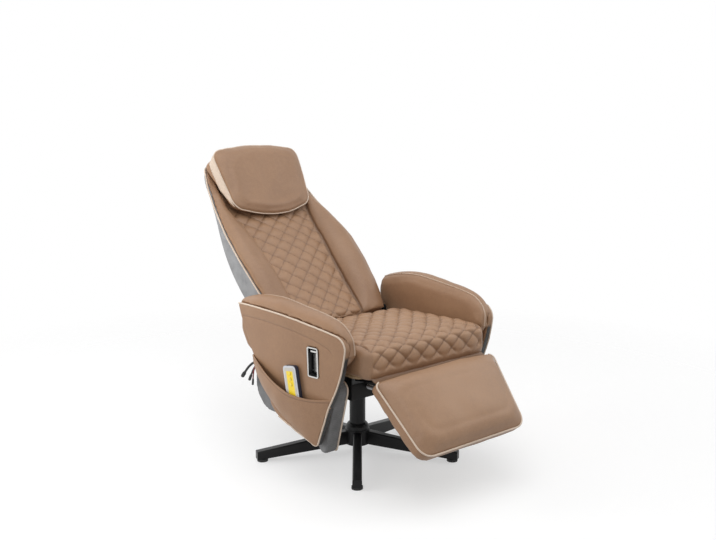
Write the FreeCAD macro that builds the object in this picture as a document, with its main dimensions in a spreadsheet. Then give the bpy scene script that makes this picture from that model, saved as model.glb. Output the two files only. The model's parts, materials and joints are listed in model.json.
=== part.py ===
"""Swivel massage recliner: five-star base, quilted seat and back, kite-shaped arms, leg rest and handset.

Lengths are millimetres. +Z is up, the sitter faces -Y, the pocket and the release lever are on the -X arm.
Each piece is drawn around the swivel axis and moved by axis_y, so the origin is under the chair's middle.
"""
import FreeCAD
import Part
import Sketcher
import math
import os
import re
from FreeCAD import Placement, Rotation, Vector

SIZES = {
    # whole chair
    "axis_y": -66, "turn_clearance": 0.3, "overrun": 40,
    # five-star base
    "base_radius": 350, "leg_count": 5, "leg_heading": 40.9, "leg_width": 30, "leg_edge_radius": 5,
    "leg_end_height": 27, "leg_root_bottom": 30, "leg_root_top": 76,
    "hub_diameter": 84, "hub_bottom": 26, "hub_top": 78, "collar_diameter": 78, "collar_height": 20,
    "glide_diameter": 36, "glide_height": 8, "glide_setback": 2,
    # column and swivel
    "column_diameter": 54, "column_wall": 3, "column_top": 222, "spindle_diameter": 26, "spindle_plug": 50,
    "washer_thickness": 4, "sleeve_diameter": 46, "sleeve_flange": 110, "sleeve_flange_thickness": 8,
    # mechanism tray and cross tubes
    "tray_bottom": 272, "tray_wall": 3, "tray_width": 430, "tray_front": 222, "tray_back": 150,
    "tray_height": 82, "tray_lip": 50, "tube_diameter": 28, "tube_wall": 2.5, "front_tube_y": 190,
    "rear_tube_y": 120,
    "tube_height": 344,
    # side plates with the ears of the recline hinge
    "plate_gap": 500, "plate_thickness": 5, "plate_front": 232, "plate_back": 196, "plate_depth": 44,
    "ear_radius": 24, "ear_foot": 46, "recline_y": 160, "recline_z": 425, "recline_pin_diameter": 12,
    "plate_corner_radius": 9,
    # seat
    "deck_thickness": 14, "deck_front": 286, "deck_back": 88, "deck_side_gap": 5, "deck_corner_radius": 30,
    "seat_width": 530, "seat_front": 346, "seat_back": 93, "seat_thickness": 92, "seat_fall": 12,
    "seat_corner_radius": 44, "seat_crown": 9, "seat_edge_round": 26, "seat_quilt_margin": 46,
    "quilt_pitch_x": 66, "quilt_pitch_y": 62, "quilt_groove": 3, "quilt_depth": 6,
    "motor_diameter": 64, "motor_height": 24, "motor_rim": 8, "motor_rim_height": 5,
    "seat_motor_x": 130, "seat_motor_y": 60,
    "box_width": 150, "box_depth": 96, "box_height": 40, "box_y": -40, "box_radius": 6,
    # arms and side boards
    "arm_front_y": -315, "arm_length": 503, "arm_tip_z": 146, "arm_rise": 392,
    "arm_bow_front": 318, "arm_bow_front_y": -327, "arm_bow_middle": 358, "arm_bow_middle_y": -40,
    "arm_bow_rear": 345, "arm_bow_rear_y": 217, "arm_lean": 0.035, "arm_lean_top": 520,
    "arm_panel_thickness": 22,
    "arm_inner_x": 272, "arm_pad_roll": 40, "arm_pad_side": 5,
    "board_thickness": 45, "board_front_y": -252, "board_length": 415, "board_tip_z": 116, "board_rise": 240,
    "core_margin": 16, "bolt_diameter": 8, "bolt_head": 15, "bolt_head_height": 5, "bolt_bite": 8,
    # pocket
    "pocket_leather": 2.5, "pocket_bulge": 21.5, "pocket_hem": 10, "pocket_floor_z": 232,
    # release lever
    "lever_y": -193, "lever_z": 411, "frame_width": 44, "frame_height": 94, "frame_rim": 5,
    "frame_thickness": 3,
    "frame_radius": 7, "cup_depth": 30, "cup_wall": 2, "cup_fit": 0.4, "lever_width": 25,
    "lever_thickness": 5,
    "lever_pin_diameter": 4, "lever_pin_drop": 31, "lever_pin_depth": 18, "lever_top": 30, "lever_lip": 12,
    # handset
    "handset_y": -113, "handset_z": 330, "handset_tilt": 9, "handset_width": 56, "handset_length": 150,
    "handset_below": 92, "handset_rear": 9, "handset_front": 6.5, "handset_radius": 12, "handset_gap": 0.6,
    "panel_margin": 6, "panel_proud": 0.8, "panel_radius": 8, "key_diameter": 10, "key_height": 2.2,
    "key_pitch": 17, "key_drop": 17, "key_fit": 0.3, "key_bed": 1.5, "panel_recess": 1.2,
    # leads
    "gland_width": 34, "gland_height": 26, "gland_thickness": 9, "gland_y": 118, "gland_z": 343,
    "lead_reach": 100, "power_lead": 8, "motor_lead": 6, "red_lead": 4.5, "connector_length": 22,
    "connector_share": 1.6,
    # leg rest hinge
    "rest_pin_y": -333, "rest_pin_z": 356, "rest_pin_diameter": 10, "rest_angle": 47,
    "bracket_x": 175, "bracket_thickness": 5, "bracket_eye": 10, "bracket_drop": 20, "leaf_width": 26,
    "leaf_gap": 1.5, "leaf_thickness": 4, "leaf_reach": 140, "leaf_knuckle": 8,
    "spring_x": 150, "spring_diameter": 15, "spring_wire": 2.4, "spring_turns": 12, "spring_length": 66,
    "rod_diameter": 8, "rod_length": 74, "rod_head": 4,
    # leg rest
    "rest_start": 13, "rest_length": 258, "rest_rear_width": 512, "rest_front_width": 456,
    "rest_underside": 11, "rest_board_thickness": 12, "rest_board_margin": 22, "rest_pad_thickness": 34,
    "rest_crown": 11, "rest_corner_radius": 46, "rest_heel_radius": 16,
    # back
    "back_angle": 46, "back_shell_wall": 8, "back_lip": 17, "back_board_thickness": 12, "back_board_gap": 8,
    "back_board_top": 400,
    "back_board_bottom": 40, "back_board_width": 424, "hinge_arm_thickness": 5, "hinge_arm_depth": 17,
    "hinge_arm_length": 280, "hinge_arm_gap": 45, "hinge_arm_eye": 19,
    "back_length": 706, "back_width": 520, "back_depth": 100,
    "back_motor_x": 95, "back_motor_low": 150, "back_motor_high": 262,
    # head pillow
    "pillow_bottom": 472, "pillow_length": 237, "pillow_low_width": 336, "pillow_top_width": 384,
    "pillow_seat": 40, "pillow_low_thickness": 20, "pillow_top_thickness": 76, "pillow_crown": 14,
    "pillow_low_radius": 48, "pillow_top_radius": 38, "pillow_low_bow": 22, "pillow_top_bow": 14,
}

# Places and sizes worked out from the driving ones
DERIVED = {
    "plate_x": "plate_gap / 2",
    "board_x": "plate_gap / 2 + plate_thickness",
    "core_x": "plate_gap / 2 + plate_thickness + board_thickness",
    "deck_bottom": "tube_height + tube_diameter / 2",
    "deck_top": "tube_height + tube_diameter / 2 + deck_thickness",
    "sleeve_bottom": "column_top + washer_thickness + turn_clearance",
    "glide_orbit": "base_radius - glide_diameter / 2 - glide_setback",
    "rest_knuckle_x": "bracket_x + bracket_thickness + leaf_gap",
    "hinge_arm_x": "plate_gap / 2 - hinge_arm_gap - hinge_arm_thickness",
}

# The arm panel's kite outline: rear top, along the top, round the front, down to the tip and back up.
# First share runs from the front of the arm to its rear, second from its tip to its top.
KITE_SHARES = {
    "rear_top": (1.0, 0.987), "top": (0.586, 1.0), "front_top": (0.074, 0.923), "brow": (0.014, 0.878),
    "nose": (0.0, 0.811), "waist": (0.046, 0.577), "knee": (0.131, 0.349), "shin": (0.225, 0.026),
    "tip": (0.249, 0.0), "heel": (0.288, 0.02), "belly": (0.577, 0.143), "turn": (0.647, 0.203),
    "rear": (0.674, 0.321), "loin": (0.805, 0.538),
}
KITE_CENTRE_SHARE = (0.4, 0.6)
# The side board's outline, in the same two directions, from its own front and tip
BOARD_SHARES = {
    "rear_top": (1.0, 1.0), "front_top": (0.05, 0.955), "brow": (0.014, 0.92), "nose": (0.0, 0.83),
    "shin": (0.12, 0.05), "tip": (0.142, 0.0), "heel": (0.182, 0.03), "flank": (0.511, 0.25),
    "belly": (0.761, 0.275),
    "turn": (0.929, 0.363), "rear": (1.0, 0.704),
}
# The pocket's sagging upper edge and its slices: front, rear and bulge at heights above the arm's tip
POCKET_EDGE_SHARES = [(0.815, 0.588), (0.587, 0.469), (0.418, 0.401), (0.258, 0.393), (0.098, 0.418)]
POCKET_SLICE_SHARES = [(0.01, 0.232, 0.270, 0.15), (0.11, 0.203, 0.45, 0.55),
                       (0.255, 0.158, 0.652, 1.0), (0.62, 0.045, 0.842, 1.04)]
# Stations of the arm pad: place along the arm, crown and lower edge as shares of the arm's height
ARM_PAD_SHARES = [(0.004, 0.885, 0.76), (0.07, 0.978, 0.665), (0.33, 1.056, 0.597), (0.626, 1.094, 0.597),
                  (0.845, 1.076, 0.597), (1.0, 1.026, 0.76)]
# Stations of the back. Share of its length: the place up it. Shares of its width: half width, seam.
# Shares of its depth: rim, quilt, bolster, shell side, shell rear, underside at the edge and in the middle.
BACK_SHARES = {
    "sole": (-0.031, 0.44, 0.242, 0.42, 0.44, 0.60, 0.78, -0.66, 0.23, 0.21),
    "foot": (0.05, 0.462, 0.25, 0.48, 0.37, 0.70, 0.84, -0.70, 0.23, 0.21),
    "hip": (0.184, 0.483, 0.254, 0.54, 0.30, 0.80, 0.90, -0.75, 0.0, -0.02),
    "waist": (0.354, 0.498, 0.265, 0.55, 0.31, 0.80, 0.80, -0.68, 0.0, -0.02),
    "chest": (0.531, 0.485, 0.285, 0.45, 0.27, 0.66, 0.52, -0.45, 0.0, -0.02),
    "shoulder": (0.722, 0.436, 0.33, 0.29, 0.20, 0.42, 0.22, -0.32, 0.17, -0.14),
    "neck": (0.85, 0.405, 0.325, 0.29, 0.22, 0.38, 0.20, -0.28, 0.19, -0.14),
    "crown": (0.977, 0.354, 0.275, 0.31, 0.24, 0.38, 0.22, -0.24, 0.19, -0.12),
    "top": (1.0, 0.331, 0.25, 0.31, 0.25, 0.36, 0.22, -0.22, 0.19, -0.10),
}
SHELL_STATIONS = ("foot", "hip", "waist", "chest", "shoulder", "neck", "crown", "top")
BOLT_SHARES = [0.25, 0.52, 0.8]
# Lead routes from the gland's corner, chosen by hand, as shares of the leads' reach
POWER_SHARES = [(-0.09, 0, 0.13), (-0.11, 0.21, 0.07), (-0.13, 0.44, -0.07), (-0.14, 0.64, -0.24),
                (-0.14, 0.81, -0.43)]
MOTOR_SHARES = [(-0.06, 0, 0.04), (-0.07, 0.17, -0.02), (-0.08, 0.32, -0.15), (-0.08, 0.44, -0.31),
                (-0.08, 0.53, -0.47)]
RED_SHARES = [(-0.14, 0, 0.03), (-0.16, 0.13, -0.04), (-0.17, 0.22, -0.18), (-0.17, 0.27, -0.35),
              (-0.17, 0.29, -0.52)]

doc = FreeCAD.newDocument("massage_recliner")
sheet = doc.addObject("Spreadsheet::Sheet", "dims")
for row, (alias, number) in enumerate(SIZES.items(), start=1):
    sheet.set("A%d" % row, alias)
    sheet.set("B%d" % row, str(number))
    sheet.setAlias("B%d" % row, alias)
doc.recompute()
pieces = []


def size(text):
    """Write a formula of size names as an expression on the sheet."""
    def word(match):
        name = match.group(0)
        if name in DERIVED:
            return "(" + size(DERIVED[name]) + ")"
        return "dims." + name if name in SIZES else name
    return re.sub(r"[a-z][a-z_0-9]*", word, text)


def value(text):
    """The number that a formula of size names stands for."""
    return float(sheet.evalExpression(size(text)))


def bind(thing, **formulas):
    """Bind properties to formulas, with __ for the dots of a property's path."""
    for path, text in formulas.items():
        thing.setExpression(path.replace("__", "."), size(text))


# Part design helpers

def new_body(label):
    """An empty body that stands on the swivel axis."""
    body = doc.addObject("PartDesign::Body", label)
    body.Label = label
    bind(body, Placement__Base__y="axis_y")
    pieces.append(body)
    return body


def new_sketch(body, role, offset):
    """A sketch on one of the body's origin planes, moved along the plane's normal."""
    sketch = body.newObject("Sketcher::SketchObject", body.Name + "_sketch")
    origin_plane = next(item for item in body.Origin.OriginFeatures if item.Role == role)
    sketch.AttachmentSupport = [(origin_plane, "")]
    sketch.MapMode = "FlatFace"
    bind(sketch, AttachmentOffset__Base__z=offset)
    return sketch


def pin_point(sketch, edge, spot, u, v):
    """Hold a point of the sketch at two formulas."""
    for kind, text in (("DistanceX", u), ("DistanceY", v)):
        index = sketch.addConstraint(Sketcher.Constraint(kind, -1, 1, edge, spot, value(text)))
        sketch.setExpression("Constraints[%d]" % index, size(text))


def draw_loop(sketch, points):
    """Draw a closed loop of straight sides through points given as formulas."""
    spots = [Vector(value(u), value(v), 0) for u, v in points]
    count = len(spots)
    first = sketch.GeometryCount
    for index in range(count):
        sketch.addGeometry(Part.LineSegment(spots[index], spots[(index + 1) % count]), False)
    for index in range(count):
        after = first + (index + 1) % count
        sketch.addConstraint(Sketcher.Constraint("Coincident", first + index, 2, after, 1))
    for index, (u, v) in enumerate(points):
        pin_point(sketch, first + index, 1, u, v)


def draw_circle(sketch, u, v, diameter):
    """Draw a circle whose place and diameter are formulas."""
    circle = Part.Circle(Vector(value(u), value(v), 0), Vector(0, 0, 1), value(diameter) / 2)
    index = sketch.addGeometry(circle, False)
    rule = sketch.addConstraint(Sketcher.Constraint("Diameter", index, value(diameter)))
    sketch.setExpression("Constraints[%d]" % rule, size(diameter))
    pin_point(sketch, index, 3, u, v)


def pad(body, sketch, length, both=False):
    """Pad a sketch along its normal, or evenly both ways."""
    feature = body.newObject("PartDesign::Pad", body.Name + "_pad")
    feature.Profile = sketch
    feature.SideType = "Symmetric" if both else "One side"
    bind(feature, Length=length)
    body.Tip = feature
    doc.recompute()
    return feature


def pocket(body, sketch):
    """Cut a sketch right through the body, both ways from its plane."""
    before = body.Shape.Volume
    feature = body.newObject("PartDesign::Pocket", body.Name + "_pocket")
    feature.Profile = sketch
    feature.SideType = "Symmetric"
    feature.Type = "ThroughAll"
    body.Tip = feature
    doc.recompute()
    if body.Shape.Volume >= before:
        raise RuntimeError(body.Label + ": a pocket cut nothing")
    return feature


def spin(body, points):
    """Revolve an outline of radius and height about the swivel axis."""
    sketch = new_sketch(body, "XZ_Plane", "0")
    draw_loop(sketch, points)
    feature = body.newObject("PartDesign::Revolution", body.Name + "_spin")
    feature.Profile = sketch
    feature.ReferenceAxis = (sketch, ["V_Axis"])
    body.Tip = feature
    doc.recompute()
    return feature


def soften(body, radius, wanted):
    """Round the edges of the body's last feature that a test picks."""
    base = body.Tip
    names = ["Edge%d" % n for n, edge in enumerate(base.Shape.Edges, start=1) if wanted(edge)]
    feature = body.newObject("PartDesign::Fillet", body.Name + "_fillet")
    feature.Base = (base, names)
    bind(feature, Radius=radius)
    body.Tip = feature
    doc.recompute()
    return feature


def runs_along(axis):
    """A test for straight edges along an axis."""
    return lambda edge: isinstance(edge.Curve, Part.Line) and abs(edge.Curve.Direction.dot(axis)) > 1 - 1e-6


X_AXIS = Vector(1, 0, 0)
Y_AXIS = Vector(0, 1, 0)
Z_AXIS = Vector(0, 0, 1)


# Helpers for pieces whose form is lofted or bowed

def feature(label, shape, placement=None):
    """A piece whose shape is worked out in code."""
    if not shape.isValid() or shape.Volume <= 0:
        raise RuntimeError(label + ": the shape is not a valid solid")
    thing = doc.addObject("Part::Feature", label)
    thing.Shape = shape
    thing.Placement = placement or Placement(Vector(0, value("axis_y"), 0), Rotation())
    pieces.append(thing)
    return thing


def arc(start, middle, end):
    """An arc through three points."""
    return Part.Arc(start, middle, end).toShape()


def line(start, end):
    """A straight edge."""
    return Part.makeLine(start, end)


def loft(wires):
    """A smooth solid through closed wires."""
    solid = Part.makeLoft(wires, True, False)
    return solid if solid.Volume > 0 else solid.reversed()


def rounded_loop(corners, radii, bows=None):
    """A closed wire of sides and corner arcs. Sides with a bow are pushed outwards in their middle."""
    count = len(corners)
    starts, ends, middles = [], [], []
    for index in range(count):
        spot, radius = corners[index], radii[index]
        back = (corners[index - 1] - spot).normalize()
        ahead = (corners[(index + 1) % count] - spot).normalize()
        half = back.getAngle(ahead) / 2
        reach = radius / math.tan(half)
        inward = (back + ahead).normalize()
        starts.append(spot + back * reach)
        ends.append(spot + ahead * reach)
        middles.append(spot + inward * (radius / math.sin(half) - radius))
    edges = []
    centre = sum(corners, Vector()) / count
    for index in range(count):
        edges.append(arc(starts[index], middles[index], ends[index]))
        leave, enter = ends[index], starts[(index + 1) % count]
        if bows and bows[index]:
            out = (leave + enter) / 2 - centre
            edges.append(arc(leave, centre + out * (1 + bows[index] / out.Length), enter))
        else:
            edges.append(line(leave, enter))
    return Part.Wire(edges)


def domed(edge, low, shoulder, crown, spread, fall):
    """Levels of a cushion: drawn-in foot, upright side, rolled edge and a crown that flattens inwards."""
    side = low + (shoulder - low) * 0.4
    levels = [(edge / 4, low, low), (0, side, side - fall * 0.4)]
    for step in range(4):
        angle = math.pi / 2 * step / 3
        height = shoulder + edge * math.sin(angle)
        levels.append((edge * (1 - math.cos(angle)), height, height - fall))
    for share in (0.35, 0.7, 1.0):
        height = shoulder + edge + crown * (1 - (1 - share) ** 2)
        levels.append((edge + spread * share, height, height - fall))
    return levels


def pillow(front_half, rear_half, front, rear, radii, levels, bows=None):
    """A crowned cushion lofted through levels of inset and height at its front and its rear edge."""
    wires = []
    for inset, front_height, rear_height in levels:
        corners = [Vector(-front_half + inset, front + inset, front_height),
                   Vector(front_half - inset, front + inset, front_height),
                   Vector(rear_half - inset, rear - inset, rear_height),
                   Vector(-rear_half + inset, rear - inset, rear_height)]
        wires.append(rounded_loop(corners, radii, bows))
    return loft(wires)


def quilt_slabs(half_width, low, high, top):
    """Thin upright slabs along both diagonals of a diamond quilt."""
    pitch_x, pitch_y, groove = value("quilt_pitch_x"), value("quilt_pitch_y"), value("quilt_groove")
    slope = pitch_y / pitch_x
    reach = 2 * (half_width + high - low)
    rise = slope * half_width
    slabs = []
    for turn in (1, -1):
        angle = math.degrees(math.atan(slope)) * turn
        start = math.floor((low - rise) / pitch_y)
        stop = math.ceil((high + rise) / pitch_y)
        for step in range(start, stop + 1):
            slab = Part.makeBox(reach, groove, 2 * top, Vector(-reach / 2, -groove / 2, -top))
            slab.rotate(Vector(), Z_AXIS, angle)
            slab.translate(Vector(0, step * pitch_y, 0))
            slabs.append(slab)
    return slabs


def quilted(cushion, core, area, half_width, low, high, top):
    """Sew diagonal channels into a cushion, as deep as the core under them and inside an area."""
    slabs = quilt_slabs(half_width, low, high, top)
    channels = area.cut(core).common(slabs[0].fuse(slabs[1:]))
    return cushion.cut(channels)


# Base

def make_base():
    """Hub, legs, glides, column and the fixed half of the swivel."""
    hub = new_body("base_hub")
    spin(hub, [("column_diameter / 2", "hub_bottom"), ("hub_diameter / 2", "hub_bottom"),
               ("hub_diameter / 2", "hub_top"), ("collar_diameter / 2", "hub_top"),
               ("collar_diameter / 2", "hub_top + collar_height / 2"),
               ("(collar_diameter + column_diameter) / 4", "hub_top + collar_height"),
               ("column_diameter / 2", "hub_top + collar_height")])
    glides = []
    for index in range(int(value("leg_count"))):
        leg = new_body("base_leg_%d" % (index + 1))
        sketch = new_sketch(leg, "XZ_Plane", "0")
        draw_loop(sketch, [("hub_diameter / 4", "leg_root_bottom"), ("base_radius", "glide_height"),
                           ("base_radius", "glide_height + leg_end_height"),
                           ("hub_diameter / 4", "leg_root_top")])
        pad(leg, sketch, "leg_width", both=True)
        bore = new_sketch(leg, "XY_Plane", "0")
        draw_circle(bore, "0", "0", "hub_diameter")
        pocket(leg, bore)
        shortest = value("hub_diameter")
        soften(leg, "leg_edge_radius", lambda edge: isinstance(edge.Curve, Part.Line)
               and abs(edge.Curve.Direction.y) < 1e-6 and edge.BoundBox.XLength > shortest
               and edge.BoundBox.ZMax > value("leg_end_height + glide_height + turn_clearance"))
        heading = "270 - leg_heading - %d * 360 / leg_count" % index
        bind(leg, Placement__Rotation__Angle=heading)
        glide = doc.addObject("Part::Cylinder", "glide")
        bind(glide, Radius="glide_diameter / 2", Height="glide_height",
             Placement__Base__x="glide_orbit * cos(%s)" % heading,
             Placement__Base__y="glide_orbit * sin(%s)" % heading)
        glides.append(glide)
    group = doc.addObject("Part::Compound", "floor_glides")
    group.Links = glides
    bind(group, Placement__Base__y="axis_y")
    pieces.append(group)

    inner = "column_diameter / 2 - column_wall"
    spin(new_body("column_tube"), [(inner, "hub_bottom"), ("column_diameter / 2", "hub_bottom"),
                                   ("column_diameter / 2", "column_top"), (inner, "column_top")])
    spin(new_body("swivel_spindle"), [("0", "column_top - spindle_plug"),
                                      (inner, "column_top - spindle_plug"),
                                      (inner, "column_top"), ("spindle_diameter / 2", "column_top"),
                                      ("spindle_diameter / 2", "tray_bottom - washer_thickness"),
                                      ("0", "tray_bottom - washer_thickness")])
    spin(new_body("swivel_washer"), [("spindle_diameter / 2", "column_top"), (inner, "column_top"),
                                     (inner, "column_top + washer_thickness"),
                                     ("spindle_diameter / 2", "column_top + washer_thickness")])


# Seat frame

def make_frame():
    """Swivel sleeve, mechanism tray, cross tubes, side plates and the recline pins."""
    bore = "spindle_diameter / 2 + turn_clearance"
    spin(new_body("swivel_sleeve"), [(bore, "sleeve_bottom"), ("sleeve_diameter / 2", "sleeve_bottom"),
                                     ("sleeve_diameter / 2", "tray_bottom - sleeve_flange_thickness"),
                                     ("sleeve_flange / 2", "tray_bottom - sleeve_flange_thickness / 2"),
                                     ("sleeve_flange / 2", "tray_bottom"), (bore, "tray_bottom")])
    tray = new_body("mechanism_tray")
    floor = new_sketch(tray, "XY_Plane", "tray_bottom")
    draw_loop(floor, [("-tray_width / 2", "-tray_front"), ("tray_width / 2", "-tray_front"),
                      ("tray_width / 2", "tray_back"), ("-tray_width / 2", "tray_back")])
    pad(tray, floor, "tray_wall")
    for side in (1, -1):
        flange = new_sketch(tray, "XY_Plane", "tray_bottom")
        edge = "%d * tray_width / 2" % side
        inside = "%d * (tray_width / 2 - tray_wall)" % side
        draw_loop(flange, [(inside, "-tray_front"), (edge, "-tray_front"), (edge, "tray_back"),
                           (inside, "tray_back")])
        pad(tray, flange, "tray_height")
    lip = new_sketch(tray, "XY_Plane", "tray_bottom")
    draw_loop(lip, [("-tray_width / 2", "-tray_front"), ("tray_width / 2", "-tray_front"),
                    ("tray_width / 2", "tray_wall - tray_front"),
                    ("-tray_width / 2", "tray_wall - tray_front")])
    pad(tray, lip, "tray_lip")
    holes = new_sketch(tray, "YZ_Plane", "0")
    draw_circle(holes, "-front_tube_y", "tube_height", "tube_diameter")
    draw_circle(holes, "rear_tube_y", "tube_height", "tube_diameter")
    middle = "tray_bottom + tray_lip"
    draw_loop(holes, [("-front_tube_y + tube_diameter", middle), ("rear_tube_y - tube_diameter", middle),
                      ("rear_tube_y - tube_diameter", "tube_height"),
                      ("-front_tube_y + tube_diameter", "tube_height")])
    pocket(tray, holes)

    for label, place in (("front_cross_tube", "-front_tube_y"), ("rear_cross_tube", "rear_tube_y")):
        tube = new_body(label)
        ring = new_sketch(tube, "YZ_Plane", "0")
        draw_circle(ring, place, "tube_height", "tube_diameter")
        draw_circle(ring, place, "tube_height", "tube_diameter - 2 * tube_wall")
        pad(tube, ring, "plate_gap", both=True)

    pins = []
    for side, word in ((1, "left"), (-1, "right")):
        plate = new_body("side_plate_" + word)
        start = "plate_x" if side > 0 else "-plate_x - plate_thickness"
        outline = new_sketch(plate, "YZ_Plane", start)
        low, high = "deck_bottom - plate_depth", "deck_bottom - turn_clearance"
        draw_loop(outline, [("-plate_front", low), ("plate_back", low), ("plate_back", high),
                            ("recline_y + ear_radius", "recline_z"),
                            ("recline_y + ear_radius", "recline_z + ear_radius"),
                            ("recline_y - ear_radius", "recline_z + ear_radius"),
                            ("recline_y - ear_radius", "recline_z"),
                            ("recline_y - ear_radius - ear_foot", high), ("-plate_front", high)])
        pad(plate, outline, "plate_thickness")
        soften(plate, "plate_corner_radius", runs_along(X_AXIS))
        hole = new_sketch(plate, "YZ_Plane", "0")
        draw_circle(hole, "recline_y", "recline_z", "recline_pin_diameter")
        for along in BOLT_SHARES:
            draw_circle(hole, "board_front_y + board_length * %g" % along,
                        "deck_bottom - plate_depth / 2", "bolt_diameter")
        pocket(plate, hole)
        pin = doc.addObject("Part::Cylinder", "recline_pin")
        pin.Placement = Placement(Vector(), Rotation(Y_AXIS, 90))
        bind(pin, Radius="recline_pin_diameter / 2",
             Height="hinge_arm_gap + hinge_arm_thickness + plate_thickness",
             Placement__Base__x="hinge_arm_x" if side > 0 else "-plate_x - plate_thickness",
             Placement__Base__y="recline_y", Placement__Base__z="recline_z")
        pins.append(pin)
    group = doc.addObject("Part::Compound", "recline_pins")
    group.Links = pins
    bind(group, Placement__Base__y="axis_y")
    pieces.append(group)


# Seat

def make_motor_pair(label, x, y, top, placement=None):
    """Two round vibration motors hung under a board at a height."""
    solids = []
    radius, tall = value("motor_diameter") / 2, value("motor_height")
    rim, rim_tall = value("motor_rim"), value("motor_rim_height")
    for side in (1, -1):
        for place in y:
            centre = Vector(side * x, place, top)
            flange = Part.makeCylinder(radius, rim_tall, centre, -Z_AXIS)
            can = Part.makeCone(radius - rim, radius - 2 * rim, tall, centre, -Z_AXIS)
            solids.append(flange.fuse(can).removeSplitter())
    return feature(label, Part.makeCompound(solids), placement)


def make_seat():
    """Deck, cushion, control box and seat motors."""
    deck = new_body("seat_deck")
    sketch = new_sketch(deck, "XY_Plane", "deck_bottom")
    side = "plate_x - deck_side_gap"
    draw_loop(sketch, [("-(%s)" % side, "-deck_front"), (side, "-deck_front"), (side, "deck_back"),
                       ("-(%s)" % side, "deck_back")])
    pad(deck, sketch, "deck_thickness")
    soften(deck, "deck_corner_radius", runs_along(Z_AXIS))

    half, front, rear = value("seat_width") / 2, -value("seat_front"), value("seat_back")
    low, thick, fall = value("deck_top"), value("seat_thickness"), value("seat_fall")
    crown, edge = value("seat_crown"), value("seat_edge_round")
    radius, depth = value("seat_corner_radius"), value("quilt_depth")

    def levels(sink):
        return domed(edge, low, low + thick - edge - sink, crown, 4 * edge, fall)

    radii = [radius, radius, radius, radius]
    cushion = pillow(half, half, front, rear, radii, levels(0))
    core = pillow(half - depth, half - depth, front + depth, rear - depth, radii, levels(depth))
    margin = value("seat_quilt_margin")
    area = Part.makeBox(2 * (half - margin), rear - front + 2 * margin, 2 * thick,
                        Vector(margin - half, front - margin, low + thick / 4))
    feature("seat_cushion", quilted(cushion, core, area, half - margin, front, rear, 2 * (low + thick)))

    make_motor_pair("seat_motors", value("seat_motor_x"), [-value("seat_motor_y")], value("deck_bottom"))
    box = doc.addObject("Part::Box", "control_box_block")
    bind(box, Length="box_width", Width="box_depth", Height="box_height", Placement__Base__x="-box_width / 2",
         Placement__Base__y="box_y", Placement__Base__z="deck_bottom - box_height")
    doc.recompute()
    soft = doc.addObject("Part::Fillet", "control_box")
    soft.Base = box
    radius = value("box_radius")
    low_edges = [n for n, item in enumerate(box.Shape.Edges, start=1)
                 if item.BoundBox.ZMin < value("deck_bottom") - value("box_radius")]
    soft.Edges = [(n, radius, radius) for n in low_edges]
    bind(soft, Placement__Base__y="axis_y")
    pieces.append(soft)


# Arms

def arm_circle():
    """Centre and radius of the arm's bow, seen from above."""
    spots = [Vector(value("arm_bow_" + name), value("arm_bow_%s_y" % name), 0)
             for name in ("front", "middle", "rear")]
    bow = arc(*spots).Curve
    return bow.Center, bow.Radius


BOW_CENTRE, BOW_RADIUS = arm_circle()


def bow_x(y, z, inward=0):
    """Half width of the arm's outer face at a place along it and a height."""
    lean = (value("arm_lean_top") - z) * value("arm_lean")
    radius = BOW_RADIUS - inward
    return BOW_CENTRE.x + math.sqrt(radius ** 2 - (y - BOW_CENTRE.y) ** 2) - lean


def bowed_slab(side, outer, inner):
    """An upright slab between two bows, given as insets from the arm's outer face."""
    spare = value("overrun")
    low, high = value("arm_tip_z") - spare, value("arm_tip_z") + value("arm_rise") + spare
    front, rear = value("arm_front_y") - spare, value("arm_front_y") + value("arm_length") + spare
    places = (front, (front + rear) / 2, rear)
    face = [Vector(side * bow_x(y, low, outer), y, low) for y in places]
    back = [Vector(side * bow_x(y, low, inner), y, low) for y in places]
    wire = Part.Wire([arc(*face), line(face[2], back[2]), arc(back[2], back[1], back[0]),
                      line(back[0], face[0])])
    tilt = Vector(side * value("arm_lean"), 0, 1) * (high - low)
    return Part.Face(wire).extrude(tilt)


def arm_spot(shares, x=0):
    """A point of the arm's outline from its shares."""
    along, up = shares
    return Vector(x, value("arm_front_y") + along * value("arm_length"),
                  value("arm_tip_z") + up * value("arm_rise"))


def kite_prism(margin):
    """The arm panel's kite outline, drawn in by a margin, across the whole chair."""
    centre = arm_spot(KITE_CENTRE_SHARE, -value("seat_width"))
    ratio = 1 - 2 * margin / value("arm_rise")
    spot = {}
    for name, shares in KITE_SHARES.items():
        spot[name] = centre + (arm_spot(shares, centre.x) - centre) * ratio
    wire = Part.Wire([arc(spot["rear_top"], spot["top"], spot["front_top"]),
                      arc(spot["front_top"], spot["brow"], spot["nose"]),
                      arc(spot["nose"], spot["waist"], spot["knee"]), line(spot["knee"], spot["shin"]),
                      arc(spot["shin"], spot["tip"], spot["heel"]), line(spot["heel"], spot["belly"]),
                      arc(spot["belly"], spot["turn"], spot["rear"]),
                      arc(spot["rear"], spot["loin"], spot["rear_top"])])
    return Part.Face(wire).extrude(Vector(2 * value("seat_width"), 0, 0))


def board_prism(side):
    """The grey side board's outline, as thick as the board."""
    start = side * value("board_x")

    def spot(name):
        along, up = BOARD_SHARES[name]
        return Vector(start, value("board_front_y") + along * value("board_length"),
                      value("board_tip_z") + up * value("board_rise"))
    wire = Part.Wire([line(spot("rear_top"), spot("front_top")),
                      arc(spot("front_top"), spot("brow"), spot("nose")),
                      line(spot("nose"), spot("shin")), arc(spot("shin"), spot("tip"), spot("heel")),
                      arc(spot("heel"), spot("flank"), spot("belly")),
                      arc(spot("belly"), spot("turn"), spot("rear")),
                      line(spot("rear"), spot("rear_top"))])
    return Part.Face(wire).extrude(Vector(side * value("board_thickness"), 0, 0))


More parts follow.
